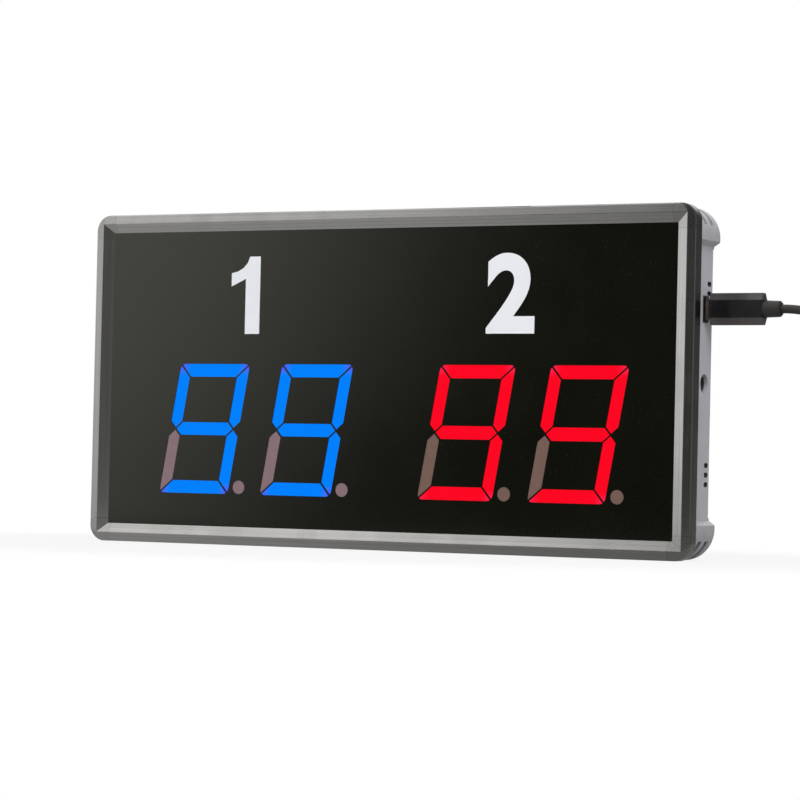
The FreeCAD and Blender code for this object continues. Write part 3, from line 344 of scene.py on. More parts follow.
drawn_across = extruded("aluminium_drawn_across", (die_line_stretch, 1.0, 1.0))
drawn_upright = extruded("aluminium_drawn_upright", (1.0, 1.0, die_line_stretch))
dress(drawn_across, "top_rail", "bottom_rail")
dress(drawn_upright, "left_rail", "right_rail")


# Frame corners: moulded plastic, sprayed with a metal-coloured lacquer to match the rails, so they
# show a fine sparkle and no die lines. Pegs in the rails and a screw boss behind hold them.

lacquer_shade = paint(147, 146, 144)
lacquer_fleck = paint(170, 169, 167)
lacquer_roughness = 0.25
lacquer_depth = 0.012 * mm
fleck_size = 0.25 * mm
peel_size = 1.6 * mm


def lacquered(place):
    flecks = place.cloud(fleck_size, 1.0)
    orange_peel = place.cloud(peel_size, 2.0)
    return {
        "Base Color": flecks.rise(0.5, 0.75).mix(lacquer_shade, lacquer_fleck),
        "Roughness": lacquer_roughness + (flecks - 0.5) * 0.15,
        "Normal": (orange_peel + flecks * 0.2).relief(lacquer_depth),
    }


corner_names = ("top_left", "top_right", "bottom_left", "bottom_right")
lacquer = finish("metal_lacquer", {"Metallic": 1.0}, lacquered)
dress(lacquer, *["frame_corner_" + corner for corner in corner_names])


# Front panel: smoked acrylic sheet with a window for every segment, its face slightly hazed by
# handling. It drops into the frame's slot and is pressed forward by the foam gasket.

panel_shade = paint(14, 15, 8)
panel_shade_deep = paint(11, 12, 6)
panel_tint = (1.0, 1.0, 0.88, 1.0)
panel_gloss = {"IOR": 1.49, "Specular IOR Level": 0.465, "Specular Tint": panel_tint}
panel_roughness = 0.10
panel_relief = 0.002 * mm
haze_patch = 45 * mm
wipe_width = 0.5 * mm
wipe_stretch = (0.12, 1.0, 1.0)
dust_size = 0.7 * mm


def smoked(place):
    haze = place.cloud(haze_patch, 4.0)
    wipe = place.drawn(wipe_stretch).cloud(wipe_width, 2.0)
    dust = place.cloud(dust_size, 0.0).rise(0.8, 0.84)
    dulled = (haze - 0.5) * 0.06 + (wipe - 0.5) * 0.02 + dust * 0.2
    return {
        "Base Color": haze.rise(0.3, 0.7).mix(panel_shade_deep, panel_shade),
        "Roughness": panel_roughness + dulled,
        "Normal": (wipe + haze).relief(panel_relief),
    }


dress(finish("smoked_acrylic", panel_gloss, smoked), "front_panel")


# Gasket: a die-cut strip of closed-cell foam round the edge of the panel, stuck on with its own
# adhesive. It takes up the play between the panel and the frame's slot.

foam_shade = paint(38, 38, 40)
foam_cell_shade = paint(18, 18, 19)
foam_cell = 0.45 * mm
foam_depth = 0.15 * mm


def foamed(place):
    cells = place.node("ShaderNodeTexVoronoi", {}, {"Vector": place, "Scale": 1 / foam_cell})
    return {
        "Base Color": cells.rise(0.2, 0.8).mix(foam_shade, foam_cell_shade),
        "Roughness": 0.85 + (cells - 0.5) * 0.1,
        "Normal": (1 - cells).relief(foam_depth),
    }


dress(finish("cell_foam", {}, foamed), "panel_gasket")


# Side marks: one plain white numeral over each pair of digits, screen printed on the panel's face.
# The ink stands a tenth of a millimetre proud and shows the mesh of the screen.

ink_shade = paint(232, 234, 238)
ink_shade_thin = paint(227, 230, 235)
ink_thickness = 0.1 * mm
ink_patch = 9 * mm
ink_depth = 0.01 * mm
screen_mesh = 0.3 * mm
numeral_height = 46.5 * mm
numeral_middle_z = 150.2 * mm
numeral_boldness = 0.035
numeral_draw_curve = 8
numeral_one = (
    (0.5, 28.6), (10.2, 33.2), (10.2, 0.0), (20.0, 0.0), (20.0, 46.5), (12.8, 46.5),
    (11.4, 42.9), (8.4, 39.6), (4.4, 37.5), (0.5, 36.7),
)
numerals = {
    "side_mark_1": ("1", -93.1 * mm, 20.0 * mm),
    "side_mark_2": ("2", 84.5 * mm, 31.0 * mm),
}


def inked(place):
    threads = place.drawn((1.0, 0.0, 1.0)).cloud(screen_mesh, 1.0)
    thin = place.cloud(ink_patch, 3.0)
    worn = (thin * 0.7 + threads * 0.3).rise(0.3, 0.75)
    return {
        "Base Color": worn.mix(ink_shade, ink_shade_thin),
        "Roughness": 0.42 + (threads - 0.5) * 0.2,
        "Normal": threads.relief(ink_depth),
    }


def numeral_outline(name, numeral):
    """The numeral's outline with a thickness: a drawn 1, any other in the plain typeface."""
    if numeral == "1":
        outline = bpy.data.curves.new(name, "CURVE")
        outline.dimensions = "2D"
        outline.fill_mode = "BOTH"
        stroke = outline.splines.new("POLY")
        stroke.points.add(len(numeral_one) - 1)
        for point, (x, y) in zip(stroke.points, numeral_one):
            point.co = (x, y, 0.0, 1.0)
        stroke.use_cyclic_u = True
    else:
        outline = bpy.data.curves.new(name, "FONT")
        outline.body = numeral
        outline.offset = numeral_boldness
        outline.resolution_u = numeral_draw_curve
    outline.extrude = 0.5
    return outline


def shown(name, data):
    """A new object of the scene with the given mesh or curve."""
    made = bpy.data.objects.new(name, data)
    bpy.context.scene.collection.objects.link(made)
    return made


def plain_mesh(source, name):
    """The evaluated object as a plain mesh object of its own, and the source gone."""
    bpy.context.view_layer.update()
    evaluated = source.evaluated_get(bpy.context.evaluated_depsgraph_get())
    mesh = bpy.data.meshes.new_from_object(evaluated)
    bpy.data.objects.remove(source)
    return shown(name, mesh)


def tidy_mesh(mesh):
    """Merges doubles and points every face outwards."""
    work = bmesh.new()
    work.from_mesh(mesh)
    bmesh.ops.remove_doubles(work, verts=work.verts, dist=0.0005 * mm)
    bmesh.ops.recalc_face_normals(work, faces=work.faces)
    work.to_mesh(mesh)
    work.free()


ink = finish("white_ink", {"IOR": 1.5}, inked)
panel_face_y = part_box("front_panel")[0].y
for name, (numeral, middle_x, width) in numerals.items():
    outline_name = name + "_outline"
    writing = shown(outline_name, numeral_outline(outline_name, numeral))
    mark = plain_mesh(writing, name)
    places = [vertex.co.copy() for vertex in mark.data.vertices]
    low = [min(place[axis] for place in places) for axis in range(3)]
    high = [max(place[axis] for place in places) for axis in range(3)]
    for vertex, place in zip(mark.data.vertices, places):
        right, up, out = [(p - l) / (h - l) for p, l, h in zip(place, low, high)]
        vertex.co = (middle_x + (right - 0.5) * width, panel_face_y - out * ink_thickness,
                     numeral_middle_z + (up - 0.5) * numeral_height)
    tidy_mesh(mark.data)
    mark.data.materials.clear()
    mark.data.materials.append(ink)
    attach(mark, "scoreboard")


# Digit housings: white-filled plastic blocks with a light well for each segment, soldered to the
# display board; the wells' walls are bright so that each lamp fills its segment evenly.

housing_shade = paint(222, 221, 214)
housing_shade_low = paint(200, 199, 190)


def moulded(name, shade, shade_low, roughness, grain, depth, patch=14 * mm, painted_light=None, ior=1.5):
    """Moulded plastic: grain is the width of its texture, depth its height, patch that of its
    clouds. Its optional function of the place gives a mask and the colour that shows where the
    mask is 1, for painted shade or a painted highlight."""
    def varying(place):
        texture = place.cloud(grain, 2.0)
        broad = place.cloud(patch, 3.0)
        colour = (broad * 0.75 + texture * 0.25).rise(0.32, 0.68).mix(shade_low, shade)
        if painted_light:
            mask, painted_colour = painted_light(place)
            colour = mask.mix(colour, painted_colour)
        return {
            "Base Color": colour,
            "Roughness": roughness + (broad - 0.5) * 0.1 + (texture - 0.5) * 0.12,
            "Normal": texture.relief(depth),
        }
    return finish(name, {"IOR": ior}, varying)


housing_finish = moulded(
    "housing_plastic", housing_shade, housing_shade_low, 0.5, 0.4 * mm, 0.02 * mm,
)
dress(housing_finish, *["digit_%d_housing" % digit for digit in (1, 2, 3, 4)])


# Segment lenses: diffusing resin cast in the wells. The lit ones glow blue on the left and red on
# the right, cooler towards the tips of each segment, and the unlit ones are milky and tinted.

digit_middles = (-120.25 * mm, -49.15 * mm, 57.55 * mm, 128.65 * mm)
digit_middle_z = 69.7 * mm
digit_lean = math.tan(math.radians(10))
segment_tip_edge = (16.4 * mm, 24.6 * mm)
segment_end_edge = (31.775 * mm, 37.925 * mm)
resin_speck = 0.35 * mm
resin_patch = 5 * mm
resin_depth = 0.004 * mm
lit_lens = {"Emission Strength": 0.97, "IOR": 1.5, "Specular IOR Level": 0.02}
blue_shades = (paint(0, 129, 255), paint(92, 78, 250), paint(0, 8, 30))
red_shades = (paint(255, 6, 34), paint(255, 40, 90), paint(30, 0, 2))


def glowing(shades, middles):
    """Varying sockets of a lit lens for the two digits whose middles are given."""
    glow, tip_glow, body = shades

    def varying(place):
        x, _, z = place.apart()
        upright = x - (z - digit_middle_z) * digit_lean
        first, second = [abs(upright - middle) for middle in middles]
        tips = first.least(second).rise(*segment_tip_edge)
        ends = abs(z - digit_middle_z).rise(*segment_end_edge)
        specks = place.cloud(resin_speck, 2.0)
        return {
            "Base Color": specks.mix(body, darker(body, 0.8)),
            "Emission Color": (tips * ends * 0.8).mix(glow, tip_glow),
            "Roughness": 0.3 + specks * 0.1,
            "Normal": specks.relief(resin_depth),
        }
    return varying


blue_lens = finish("lens_lit_blue", lit_lens, glowing(blue_shades, digit_middles[:2]))
red_lens = finish("lens_lit_red", lit_lens, glowing(red_shades, digit_middles[2:]))
dress(blue_lens, "digit_1_lit_lenses", "digit_2_lit_lenses")
dress(red_lens, "digit_3_lit_lenses", "digit_4_lit_lenses")


def milky(name, shade, shade_low):
    """Unlit resin with specks in its depth."""
    def varying(place):
        specks = place.cloud(resin_speck, 3.0)
        depth = place.cloud(resin_patch, 2.0)
        return {
            "Base Color": (specks * 0.5 + depth * 0.5).rise(0.3, 0.7).mix(shade_low, shade),
            "Roughness": 0.32 + specks * 0.12,
            "Normal": specks.relief(resin_depth),
        }
    return finish(name, {"IOR": 1.5}, varying)


left_unlit = milky("lens_unlit_left", paint(136, 111, 118), paint(128, 103, 110))
right_unlit = milky("lens_unlit_right", paint(116, 90, 80), paint(108, 83, 73))
dress(left_unlit, "digit_1_unlit_lenses", "digit_2_unlit_lenses")
dress(right_unlit, "digit_3_unlit_lenses", "digit_4_unlit_lenses")


# Display board: green fibreglass laminate with copper tracks under the solder mask and tinned pads.
# It carries the digits on its front and the chips on its back, and screws to the case's posts.

mask_shade = paint(14, 84, 44)
mask_shade_dark = paint(8, 58, 30)
track_shade = paint(36, 122, 66)
track_pitch = 1.9 * mm
track_area = 26 * mm
track_depth = 0.035 * mm
wave_period = 0.314
pad_shade = paint(190, 188, 182)
pad_pitch = 4.6 * mm
glass_weave = 0.5 * mm


def tracked(place):
    flat = place.drawn((1.0, 0.0, 1.0))
    wave = {"Vector": flat, "Scale": wave_period / track_pitch, "Distortion": 2.5, "Detail": 0.0,
            "Detail Scale": 0.02}
    across, upright = [
        flat.node("ShaderNodeTexWave", {"bands_direction": axis}, wave) for axis in ("X", "Z")
    ]
    area = flat.cloud(track_area, 0.0).rise(0.49, 0.51)
    tracks = (across * area + upright * (1 - area)).rise(0.72, 0.78)
    pads = flat.node("ShaderNodeTexVoronoi", {}, {"Vector": flat, "Scale": 1 / pad_pitch})
    pads = 1 - pads.rise(0.13, 0.15)
    weave = place.cloud(glass_weave, 1.0)
    laminate = weave.mix(mask_shade_dark, mask_shade)
    return {
        "Base Color": pads.mix(tracks.mix(laminate, track_shade), pad_shade),
        "Metallic": pads * 0.9,
        "Roughness": 0.34 + weave * 0.08,
        "Normal": (tracks + pads).relief(track_depth),
    }


board_finish = finish("board_laminate", {"IOR": 1.5}, tracked)
dress(board_finish, "display_board", "power_board")


# Screws: zinc-plated steel with a passivated, faintly blue film; the turned heads show fine rings.
# Six hold the display board, two the power board and four long ones the guards and the case.

steel_shade = paint(196, 199, 202)
steel_shade_dull = paint(158, 161, 165)
steel_film = 2.4 * mm
turned_ring = 0.12 * mm
turned_depth = 0.006 * mm


def plated(place):
    rings = place.drawn((0.3, 1.0, 0.3)).cloud(turned_ring, 1.0)
    film = place.cloud(steel_film, 3.0)
    return {
        "Base Color": (film * 0.7 + rings * 0.3).rise(0.35, 0.7).mix(steel_shade, steel_shade_dull),
        "Roughness": 0.24 + film * 0.14,
        "Normal": rings.relief(turned_depth),
    }


screw_finish = finish("zinc_plated_steel", {"Metallic": 1.0}, plated)
dress(screw_finish, "display_board_screws", "power_board_screws", "case_screws")


# Segment lamps: small packages of clear resin over a phosphor dot, soldered to the display board,
# one at the foot of each light well.

lamp_shade = paint(236, 232, 214)
lamp_shade_deep = paint(228, 214, 158)
lamp_patch = 0.8 * mm
lamp_depth = 0.01 * mm


def resin(place):
    depth = place.cloud(lamp_patch, 2.0)
    return {
        "Base Color": depth.rise(0.35, 0.65).mix(lamp_shade, lamp_shade_deep),
        "Roughness": 0.22 + depth * 0.1,
        "Normal": depth.relief(lamp_depth),
    }


dress(finish("lamp_resin", {"IOR": 1.5, "Subsurface Weight": 0.2}, resin), "segment_lamps")


# Chips: four segment drivers and one controller, black moulded epoxy with tinned leads bent down to
# the board, in rows along both long sides of a driver and along all four sides of the controller.

chip_finish = moulded(
    "chip_epoxy", paint(40, 40, 42), paint(30, 30, 32), 0.55, 0.12 * mm, 0.006 * mm, 3 * mm,
)
dress(chip_finish, "driver_chips", "controller_chip")
tin_shade = paint(206, 206, 202)
tin_shade_dull = paint(178, 178, 176)
tin_film = 0.6 * mm
tin_depth = 0.004 * mm
lead_width = 0.4 * mm
lead_thickness = 0.2 * mm
lead_shoulder = 0.45 * mm
lead_foot = 0.55 * mm
driver_half_width = 5.0 * mm
driver_lead_pitch = 1.27 * mm
driver_lead_count = 7
controller_lead_pitch = 0.8 * mm
controller_lead_count = 13


def tinned(place):
    film = place.cloud(tin_film, 3.0)
    return {
        "Base Color": film.rise(0.35, 0.65).mix(tin_shade, tin_shade_dull),
        "Roughness": 0.28 + film * 0.14,
        "Normal": film.relief(tin_depth),
    }


def row_tree(name, material):
    """Geometry nodes: a row of like bars at even pitch. Count, pitch and size are its inputs."""
    tree = bpy.data.node_groups.new(name, "GeometryNodeTree")
    tree.interface.new_socket("Geometry", in_out="OUTPUT", socket_type="NodeSocketGeometry")
    tree.interface.new_socket("Count", in_out="INPUT", socket_type="NodeSocketInt")
    for asked_vector in ("Start", "Pitch", "Size"):
        tree.interface.new_socket(asked_vector, in_out="INPUT", socket_type="NodeSocketVector")
    asked = tree.nodes.new("NodeGroupInput")
    line = tree.nodes.new("GeometryNodeMeshLine")
    bar = tree.nodes.new("GeometryNodeMeshCube")
    place = tree.nodes.new("GeometryNodeInstanceOnPoints")
    real = tree.nodes.new("GeometryNodeRealizeInstances")
    coat = tree.nodes.new("GeometryNodeSetMaterial")
    given = tree.nodes.new("NodeGroupOutput")
    coat.inputs["Material"].default_value = material
    for start, output, end, socket in (
        (asked, "Count", line, "Count"), (asked, "Start", line, "Start Location"),
        (asked, "Pitch", line, "Offset"), (asked, "Size", bar, "Size"),
        (line, "Mesh", place, "Points"), (bar, "Mesh", place, "Instance"),
        (place, "Instances", real, "Geometry"), (real, "Geometry", coat, "Geometry"),
        (coat, "Geometry", given, "Geometry"),
    ):
        tree.links.new(start.outputs[output], end.inputs[socket])
    return tree


def row_of_bars(name, tree, count, start, pitch, size):
    """One plain mesh object with a row of bars, each of them centred on its place."""
    source = shown(name + "_source", bpy.data.meshes.new(name + "_source"))
    modifier = source.modifiers.new("row", "NODES")
    modifier.node_group = tree
    asked = {"Count": count, "Start": tuple(start), "Pitch": tuple(pitch), "Size": tuple(size)}
    for item in tree.interface.items_tree:
        if item.name in asked:
            modifier[item.identifier] = asked[item.name]
    return plain_mesh(source, name)


def joined(name, parts, material):
    """Several mesh objects made one, with one material and its faces outwards."""
    work = bmesh.new()
    for part in parts:
        work.from_mesh(part.data)
        bpy.data.objects.remove(part)
    bmesh.ops.recalc_face_normals(work, faces=work.faces)
    mesh = bpy.data.meshes.new(name)
    work.to_mesh(mesh)
    work.free()
    mesh.materials.clear()
    mesh.materials.append(material)
    return shown(name, mesh)


tin = finish("tinned_metal", {"Metallic": 1.0}, tinned)
lead_row = row_tree("lead_row", tin)


def lead_rows(name, low, high, count, pitch, along):
    """Leads out of both sides of a chip's box: a shoulder at half its height, a leg, a foot."""
    axes = (Vector((1, 0, 0)), Vector((0, 0, 1)))
    run, across = axes if along == "X" else axes[::-1]
    back = Vector((0, 1, 0))
    middle = (low + high) / 2
    half = abs((high - low).dot(across)) / 2
    leg = middle.y - low.y + lead_thickness
    first = middle - run * pitch * (count - 1) / 2
    first.y = 0
    pieces = (
        (half + lead_shoulder / 2, middle.y, lead_shoulder, lead_thickness),
        (half + lead_shoulder, (low.y + middle.y) / 2, lead_thickness, leg),
        (half + lead_shoulder + lead_foot / 2, low.y + lead_thickness / 2, lead_foot,
         lead_thickness),
    )
    rows = []
    for side in (-1, 1):
        for number, (aside, level, reach, thick) in enumerate(pieces):
            row_name = "%s_%d_%d" % (name, side, number)
            start = first + across * side * aside + back * level
            size = across * reach + run * lead_width + back * thick
            rows.append(row_of_bars(row_name, lead_row, count, start, run * pitch, size))
    return rows


driver_low, driver_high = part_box("driver_chips")
rows = []
for number, middle_x in enumerate(digit_middles):
    low = Vector((middle_x - driver_half_width, driver_low.y, driver_low.z))
    high = Vector((middle_x + driver_half_width, driver_high.y, driver_high.z))
    driver = "driver_%d" % number
    rows += lead_rows(driver, low, high, driver_lead_count, driver_lead_pitch, "X")
low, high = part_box("controller_chip")
for along in ("X", "Z"):
    side = "controller_" + along
    rows += lead_rows(side, low, high, controller_lead_count, controller_lead_pitch, along)
chip_leads = joined("chip_leads", rows, tin)
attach(chip_leads, "scoreboard")


# Rear case: one tray moulded in light grey plastic with a fine spark-eroded texture. Its floor
# carries the wall keyholes and its right wall the two power openings and the vents; four long
# screws hold it.

case_shade = paint(175, 174, 179)
case_shade_low = paint(171, 170, 175)
# Share of colour kept under the painted shade in the vent slots and the guards' grooves.
painted_shade_share = 0.12
case_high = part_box("rear_case")[1]
vent_middles_z = (48.3 * mm, 150.6 * mm)
vent_middle_y = case_high.y - 5.8 * mm
vent_group_reach = 7.0 * mm
vent_reach = 2.9 * mm
vent_edge = 0.2 * mm
vent_inner_x = case_high.x - 3.5 * mm
vent_inner_edge = 0.1 * mm
vent_mouth = (case_high.x - 0.25 * mm, case_high.x - 0.05 * mm)


def in_vents(place):
    """The vent slots' walls, with painted shade from just under the right wall's face."""
    x, y, z = place.apart()
    lower, upper = [abs(z - middle) for middle in vent_middles_z]
    near = 1 - lower.least(upper).rise(vent_group_reach, vent_group_reach + vent_edge)
    near = near * (1 - abs(y - vent_middle_y).rise(vent_reach, vent_reach + vent_edge))
    near = near * x.rise(vent_inner_x - vent_inner_edge, vent_inner_x)
    return near * (1 - x.rise(*vent_mouth)), darker(case_shade_low, painted_shade_share)


case_finish = moulded(
    "case_plastic", case_shade, case_shade_low, 0.46, 0.35 * mm, 0.018 * mm, 18 * mm, in_vents,
)
dress(case_finish, "rear_case")


# Corner guards: tougher plastic in the same grey, smooth from a polished mould, pushed over the
# case's corners and held at the back by the case screws.

guard_shade = paint(168, 166, 169)
guard_shade_low = paint(159, 157, 160)
guard_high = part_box("corner_guard_top_right")[1]
guard_turn = 18.0 * mm
groove_floor = (16.2 * mm, 17.7 * mm)
groove_sides = (6.7 * mm, 7.3 * mm)
groove_rear = (13.0 * mm, 13.5 * mm)
# Share by which painted shade darkens the grooves' floors.
groove_painted_shade = 0.6


def in_grooves(place):
    """Painted shade on the groove floors, nearer than the guard's face to the axis it bends round.
    """
    x, y, z = place.apart()
    out_x = abs(x) - (guard_high.x - guard_turn)
    out_z = abs(z - guard_high.z / 2) - (guard_high.z / 2 - guard_turn)
    corner = out_x.least(out_z).rise(*groove_sides)
    deep = 1 - (out_x * out_x + out_z * out_z).root().rise(*groove_floor)
    painted_shade = corner * deep * (1 - y.rise(*groove_rear)) * groove_painted_shade
    return painted_shade, darker(guard_shade_low, painted_shade_share)


guard_finish = moulded(
    "guard_plastic", guard_shade, guard_shade_low, 0.36, 0.6 * mm, 0.008 * mm, 9 * mm, in_grooves,
)
dress(guard_finish, *["corner_guard_" + corner for corner in corner_names])


# Power board's own parts: an electrolytic capacitor in a printed sleeve with a pale stripe, white
# nylon wire headers with their plugs, and three wires, red, white and black, between the boards.

can_low, can_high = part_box("filter_capacitor")
can_middle_z = (can_low.z + can_high.z) / 2
can_radius = (can_high.x - can_low.x) / 2
can_top = (can_low.y + 0.5 * mm, can_low.y + 0.55 * mm)
can_top_shade = paint(176, 178, 180)
stripe_edge = (can_radius * 0.72, can_radius * 0.76)
stripe_shade = paint(150, 156, 168)
sleeve_shade = paint(28, 33, 54)
sleeve_shade_dark = paint(22, 26, 44)
sleeve_grain = 1.2 * mm
sleeve_depth = 0.02 * mm


def sleeved(place):
    _, y, z = place.apart()
    stripe = (z - can_middle_z).rise(*stripe_edge)
    top = 1 - y.rise(*can_top)
    wrap = place.cloud(sleeve_grain, 2.0)
    sleeve = wrap.mix(sleeve_shade_dark, sleeve_shade)
    return {
        "Base Color": top.mix(stripe.mix(sleeve, stripe_shade), can_top_shade),
        "Metallic": top * 0.9,
        "Roughness": 0.3 + wrap * 0.1,
        "Normal": wrap.relief(sleeve_depth),
    }


dress(finish("capacitor_sleeve", {"IOR": 1.5}, sleeved), "filter_capacitor")
nylon_finish = moulded(
    "header_nylon", paint(226, 222, 208), paint(212, 207, 190), 0.4, 0.3 * mm, 0.008 * mm, 4 * mm,
)
dress(nylon_finish, "link_headers", "link_plugs")
wires_low, wires_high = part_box("link_wires")
wire_step = (wires_high.z - wires_low.z) / 3
wire_edge = wire_step * 0.05
wire_shades = (paint(30, 30, 32), paint(222, 220, 214), paint(176, 26, 24))
wire_grain = 0.5 * mm
wire_depth = 0.01 * mm


def insulated(place):
    height = place.apart()[2] - wires_low.z
    second = height.rise(wire_step - wire_edge, wire_step + wire_edge)
    third = height.rise(wire_step * 2 - wire_edge, wire_step * 2 + wire_edge)
    skin = place.cloud(wire_grain, 2.0)
    colours = third.mix(second.mix(wire_shades[0], wire_shades[1]), wire_shades[2])
    return {
        "Base Color": (skin * 0.12).mix(colours, (0.0, 0.0, 0.0, 1.0)),
        "Roughness": 0.36 + skin * 0.1,
        "Normal": skin.relief(wire_depth),
    }


dress(finish("wire_insulation", {"IOR": 1.5}, insulated), "link_wires")


# Sockets on the power board: a nickel-plated pressed steel shell round a black tongue with four
# gilt contacts, and below it a round jack with a plated pin in a black body.

# The plated shells' colour is darkened throughout: painted shade, like the shade inside the port.
shell_painted_shade = paint(126, 118, 111)
shell_painted_shade_dull = paint(104, 96, 89)
shell_draw = 0.15 * mm
shell_draw_stretch = (0.05, 1.0, 1.0)
shell_smear = 3 * mm
shell_depth = 0.004 * mm
gilt_shade = paint(214, 172, 92)
gilt_shade_dull = paint(188, 146, 74)
gilt_film = 0.9 * mm
gilt_depth = 0.003 * mm
contact_count = 4
contact_pitch = Vector((0, 0, 2.0 * mm))
contact_width = 1.0 * mm
contact_thickness = 0.15 * mm
contact_inset = 0.9 * mm
socket_contact_length = 6.4 * mm
tongue_face_y = 7.45 * mm


def pressed(place):
    draw = place.drawn(shell_draw_stretch).cloud(shell_draw, 2.0)
    smear = place.cloud(shell_smear, 3.0)
    return {
        "Base Color": smear.rise(0.35, 0.7).mix(shell_painted_shade, shell_painted_shade_dull),
        "Roughness": 0.12 + draw * 0.1 + smear * 0.06,
        "Normal": draw.relief(shell_depth),
    }


def gilt(place):
    film = place.cloud(gilt_film, 2.0)
    return {
        "Base Color": film.rise(0.35, 0.7).mix(gilt_shade, gilt_shade_dull),
        "Roughness": 0.22 + film * 0.12,
        "Normal": film.relief(gilt_depth),
    }


def contacts(name, middle_x, middle_y, length):
    """A row of gilt bars, one over another, at the height of the port."""
    start = Vector((middle_x, middle_y, port_z)) - contact_pitch * (contact_count - 1) / 2
    size = (length, contact_thickness, contact_width)
    row = row_of_bars(name + "_row", contact_row, contact_count, start, contact_pitch, size)
    return joined(name, [row], gold)


shell_finish = finish("plated_shell", {"Metallic": 1.0}, pressed)
dress(shell_finish, "usb_socket_shell", "plug_shell", "far_plug_shell")
insulator = moulded(
    "connector_insulator", paint(34, 33, 34), paint(26, 25, 26), 0.42, 0.25 * mm, 0.008 * mm,
    5 * mm,
)
dress(insulator, "usb_socket_tongue", "power_jack_body", "plug_core", "far_plug_core")
dress(finish("plated_pin", {"Metallic": 1.0}, tinned), "power_jack_pin")
gold = finish("gilt_contact", {"Metallic": 1.0}, gilt)
contact_row = row_tree("contact_row", gold)
core_low, core_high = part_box("plug_core")
tongue_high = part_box("usb_socket_tongue")[1]
port_z = (core_low.z + core_high.z) / 2
socket_contacts = contacts(
    "usb_socket_contacts", tongue_high.x - contact_inset - socket_contact_length / 2,
    tongue_face_y - contact_thickness / 2, socket_contact_length,
)
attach(socket_contacts, "scoreboard")


# Power lead's plug: a folded steel shell round a core with four contacts, over-moulded with a black
# grip whose four long edges are chamfered, and a short sleeve that eases the cord out of it.

plug_contact_length = 7.2 * mm
plug_contacts = contacts(
    "plug_contacts", core_low.x + contact_inset + plug_contact_length / 2,
    core_high.y + contact_thickness / 2, plug_contact_length,
)
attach(plug_contacts, "power_lead")
grip_face_reach = 4.8 * mm
grip_chamfer_edge = 0.5 * mm
grip_reach = 9.0 * mm
# Painted reflection of the table on the grip's chamfers: the lower chamfer lighter than the upper.
grip_painted_reflection_under = paint(80, 76, 74)
grip_painted_reflection_over = paint(58, 56, 55)


def on_chamfers(place):
    """Painted highlight on the chamfers of the grip in the port, lighter on the lower one."""
    height = place.apart()[2] - port_z
    aside = abs(height)
    painted_sheen = aside.rise(grip_face_reach, grip_face_reach + grip_chamfer_edge)
    painted_sheen = painted_sheen * (1 - aside.rise(grip_reach, grip_reach * 2))
    upper = height.rise(-grip_face_reach, grip_face_reach)
    return painted_sheen, upper.mix(grip_painted_reflection_under, grip_painted_reflection_over)


rubber = moulded(
    "plug_rubber", paint(20, 20, 20), paint(16, 16, 16), 0.26, 0.3 * mm, 0.012 * mm, 7 * mm,
    on_chamfers, ior=1.6,
)
dress(rubber, "plug_grip", "far_plug_grip")
relief_rubber = moulded(
    "relief_rubber", paint(48, 46, 45), paint(41, 40, 38), 0.40, 0.3 * mm, 0.012 * mm, 5 * mm,
)
dress(relief_rubber, "plug_strain_relief", "far_plug_strain_relief")


# Cord: one round black flexible lead, out of the plug, down in an easy bend to the table, and the
# rest of its length folded in a hank beside the board, bound at the waist, to its far plug.

cord_diameter = 5.0 * mm
cord_route = (
    (241.7, 7.3, 141.6), (254.0, 7.3, 141.6), (268.0, 7.0, 136.0), (279.5, 5.6, 124.0),
    (285.3, 2.8, 105.0), (286.6, -1.2, 81.0), (286.8, -5.6, 58.0), (290.5, -9.2, 38.0),
    (301.0, -11.3, 21.5), (315.5, -10.2, 12.0), (330.0, -6.5, 9.3), (345.0, -6.5, 9.3),
)
hank_middle = Vector((342.0, 7.25, 8.1)) * mm
hank_run = 100.0 * mm
hank_inmost = 13.45 * mm
hank_step = 6.2 * mm
hank_layer_step = 5.6 * mm
hank_turning = 3
hank_draw = 9.0 * mm
hank_waist = 16.0 * mm
hank_lift = 1.2 * mm
fold_steps = 12
tail_run = 32.0 * mm
tail_aside = 6.4 * mm
tail_rise_run = 16.0 * mm
tail_end_z = 4.9 * mm
tail_straight = 5.0 * mm


def hank_reach(run):
    """How far a run lies from the hank's middle line."""
    return hank_inmost + abs(hank_turning - run) * hank_step / 2


def hank_bends(run):
    """Control points of a run after its fold: in to the waist, straight through, out again."""
    way = (1, -1)[run % 2]
    past = [min(max(run - hank_turning + share, 0), 1) for share in (0, 0.5, 1)]
    drops = [share * hank_layer_step for share in past]
    wide, drawn_in = [-way * (hank_reach(run) - draw) for draw in (0, hank_draw)]
    quarter = (hank_run - hank_waist) / 8
    marks = [
        (-hank_run / 2 + quarter, wide, -drops[0]),
        (-hank_waist / 2 - quarter, drawn_in, hank_lift - drops[1]),
        (hank_waist / 2 + quarter, drawn_in, hank_lift - drops[1]),
        (hank_run / 2 - quarter, wide, -drops[2]),
    ]
    return [hank_middle + Vector((way * x, y, z)) for x, y, z in marks]


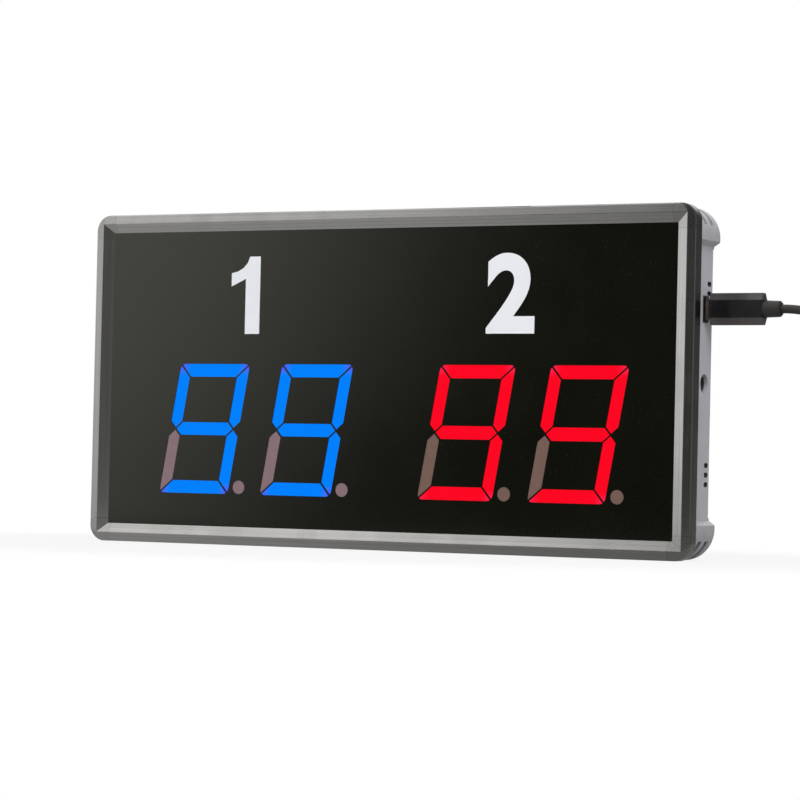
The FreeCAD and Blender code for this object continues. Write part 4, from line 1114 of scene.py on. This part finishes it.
def hank_fold(run):
    """Control points of the half circle that ends a run, on the turned-back side of the hank."""
    way = (1, -1)[run % 2]
    first, second = -way * hank_reach(run), way * hank_reach(run + 1)
    radius = abs(first - second) / 2 / math.cos(math.pi / fold_steps / 2)
    drop = hank_layer_step if run >= hank_turning else 0
    centre = hank_middle + Vector((way * hank_run / 2, (first + second) / 2, -drop))
    turns = [math.pi * ((step + 0.5) / fold_steps - 0.5) for step in range(fold_steps)]
    arms = [Vector((way * math.cos(turn), way * math.sin(turn), 0)) for turn in turns]
    return [centre + radius * arm for arm in arms]


points = [Vector(place) * mm for place in cord_route]
points += hank_bends(0)[2:] + hank_fold(0)
for run in range(1, 2 * hank_turning):
    points += hank_bends(run) + hank_fold(run)
points += hank_bends(2 * hank_turning)
bend = hank_middle + Vector((hank_run / 2, -hank_reach(2 * hank_turning), -hank_layer_step))
rise = tail_end_z - bend.z
tail = (
    (tail_run / 4, 0, 0), (tail_run * 3 / 4, tail_aside, 0),
    (tail_run + tail_rise_run / 4, tail_aside, 0),
    (tail_run + tail_rise_run * 3 / 4, tail_aside, rise),
    (tail_run + tail_rise_run + tail_straight, tail_aside, rise),
)
points += [bend + Vector(step) for step in tail]
cord_data = bpy.data.curves.new("power_cord_line", "CURVE")
cord_data.dimensions = "3D"
spline = cord_data.splines.new("NURBS")
spline.points.add(len(points) - 1)
for spot, place in zip(spline.points, points):
    spot.co = (*place, 1.0)
spline.order_u = 3
spline.use_endpoint_u = True
spline.resolution_u = 6
cord_data.bevel_depth = cord_diameter / 2
cord_data.bevel_resolution = 4
cord_data.use_fill_caps = True
jacket = moulded(
    "cord_jacket", paint(50, 48, 47), paint(42, 40, 39), 0.4, 0.5 * mm, 0.01 * mm, 11 * mm,
)
cord_data.materials.append(jacket)
cord = shown("power_cord_line", cord_data)
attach(cord, "power_lead")
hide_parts("power_cord", "power_cord_hank")


# Hank tie: a strap of dark nylon drawn tight round the waist of the hank, ribbed across so that
# its catch holds.

tie_shade = paint(48, 48, 51)
tie_shade_dark = paint(40, 40, 42)
tie_grain = 0.5 * mm
tie_depth = 0.08 * mm
rib_pitch = 0.9 * mm


def ribbed(place):
    turn = place.apart()[2] / rib_pitch * math.tau
    rib = turn.maths("SINE", turn)
    skin = place.cloud(tie_grain, 1.0)
    return {
        "Base Color": skin.mix(tie_shade_dark, tie_shade),
        "Roughness": 0.4 + skin * 0.1,
        "Normal": (rib * 0.5 + skin * 0.1).relief(tie_depth),
    }


dress(finish("tie_nylon", {"IOR": 1.5}, ribbed), "hank_tie")
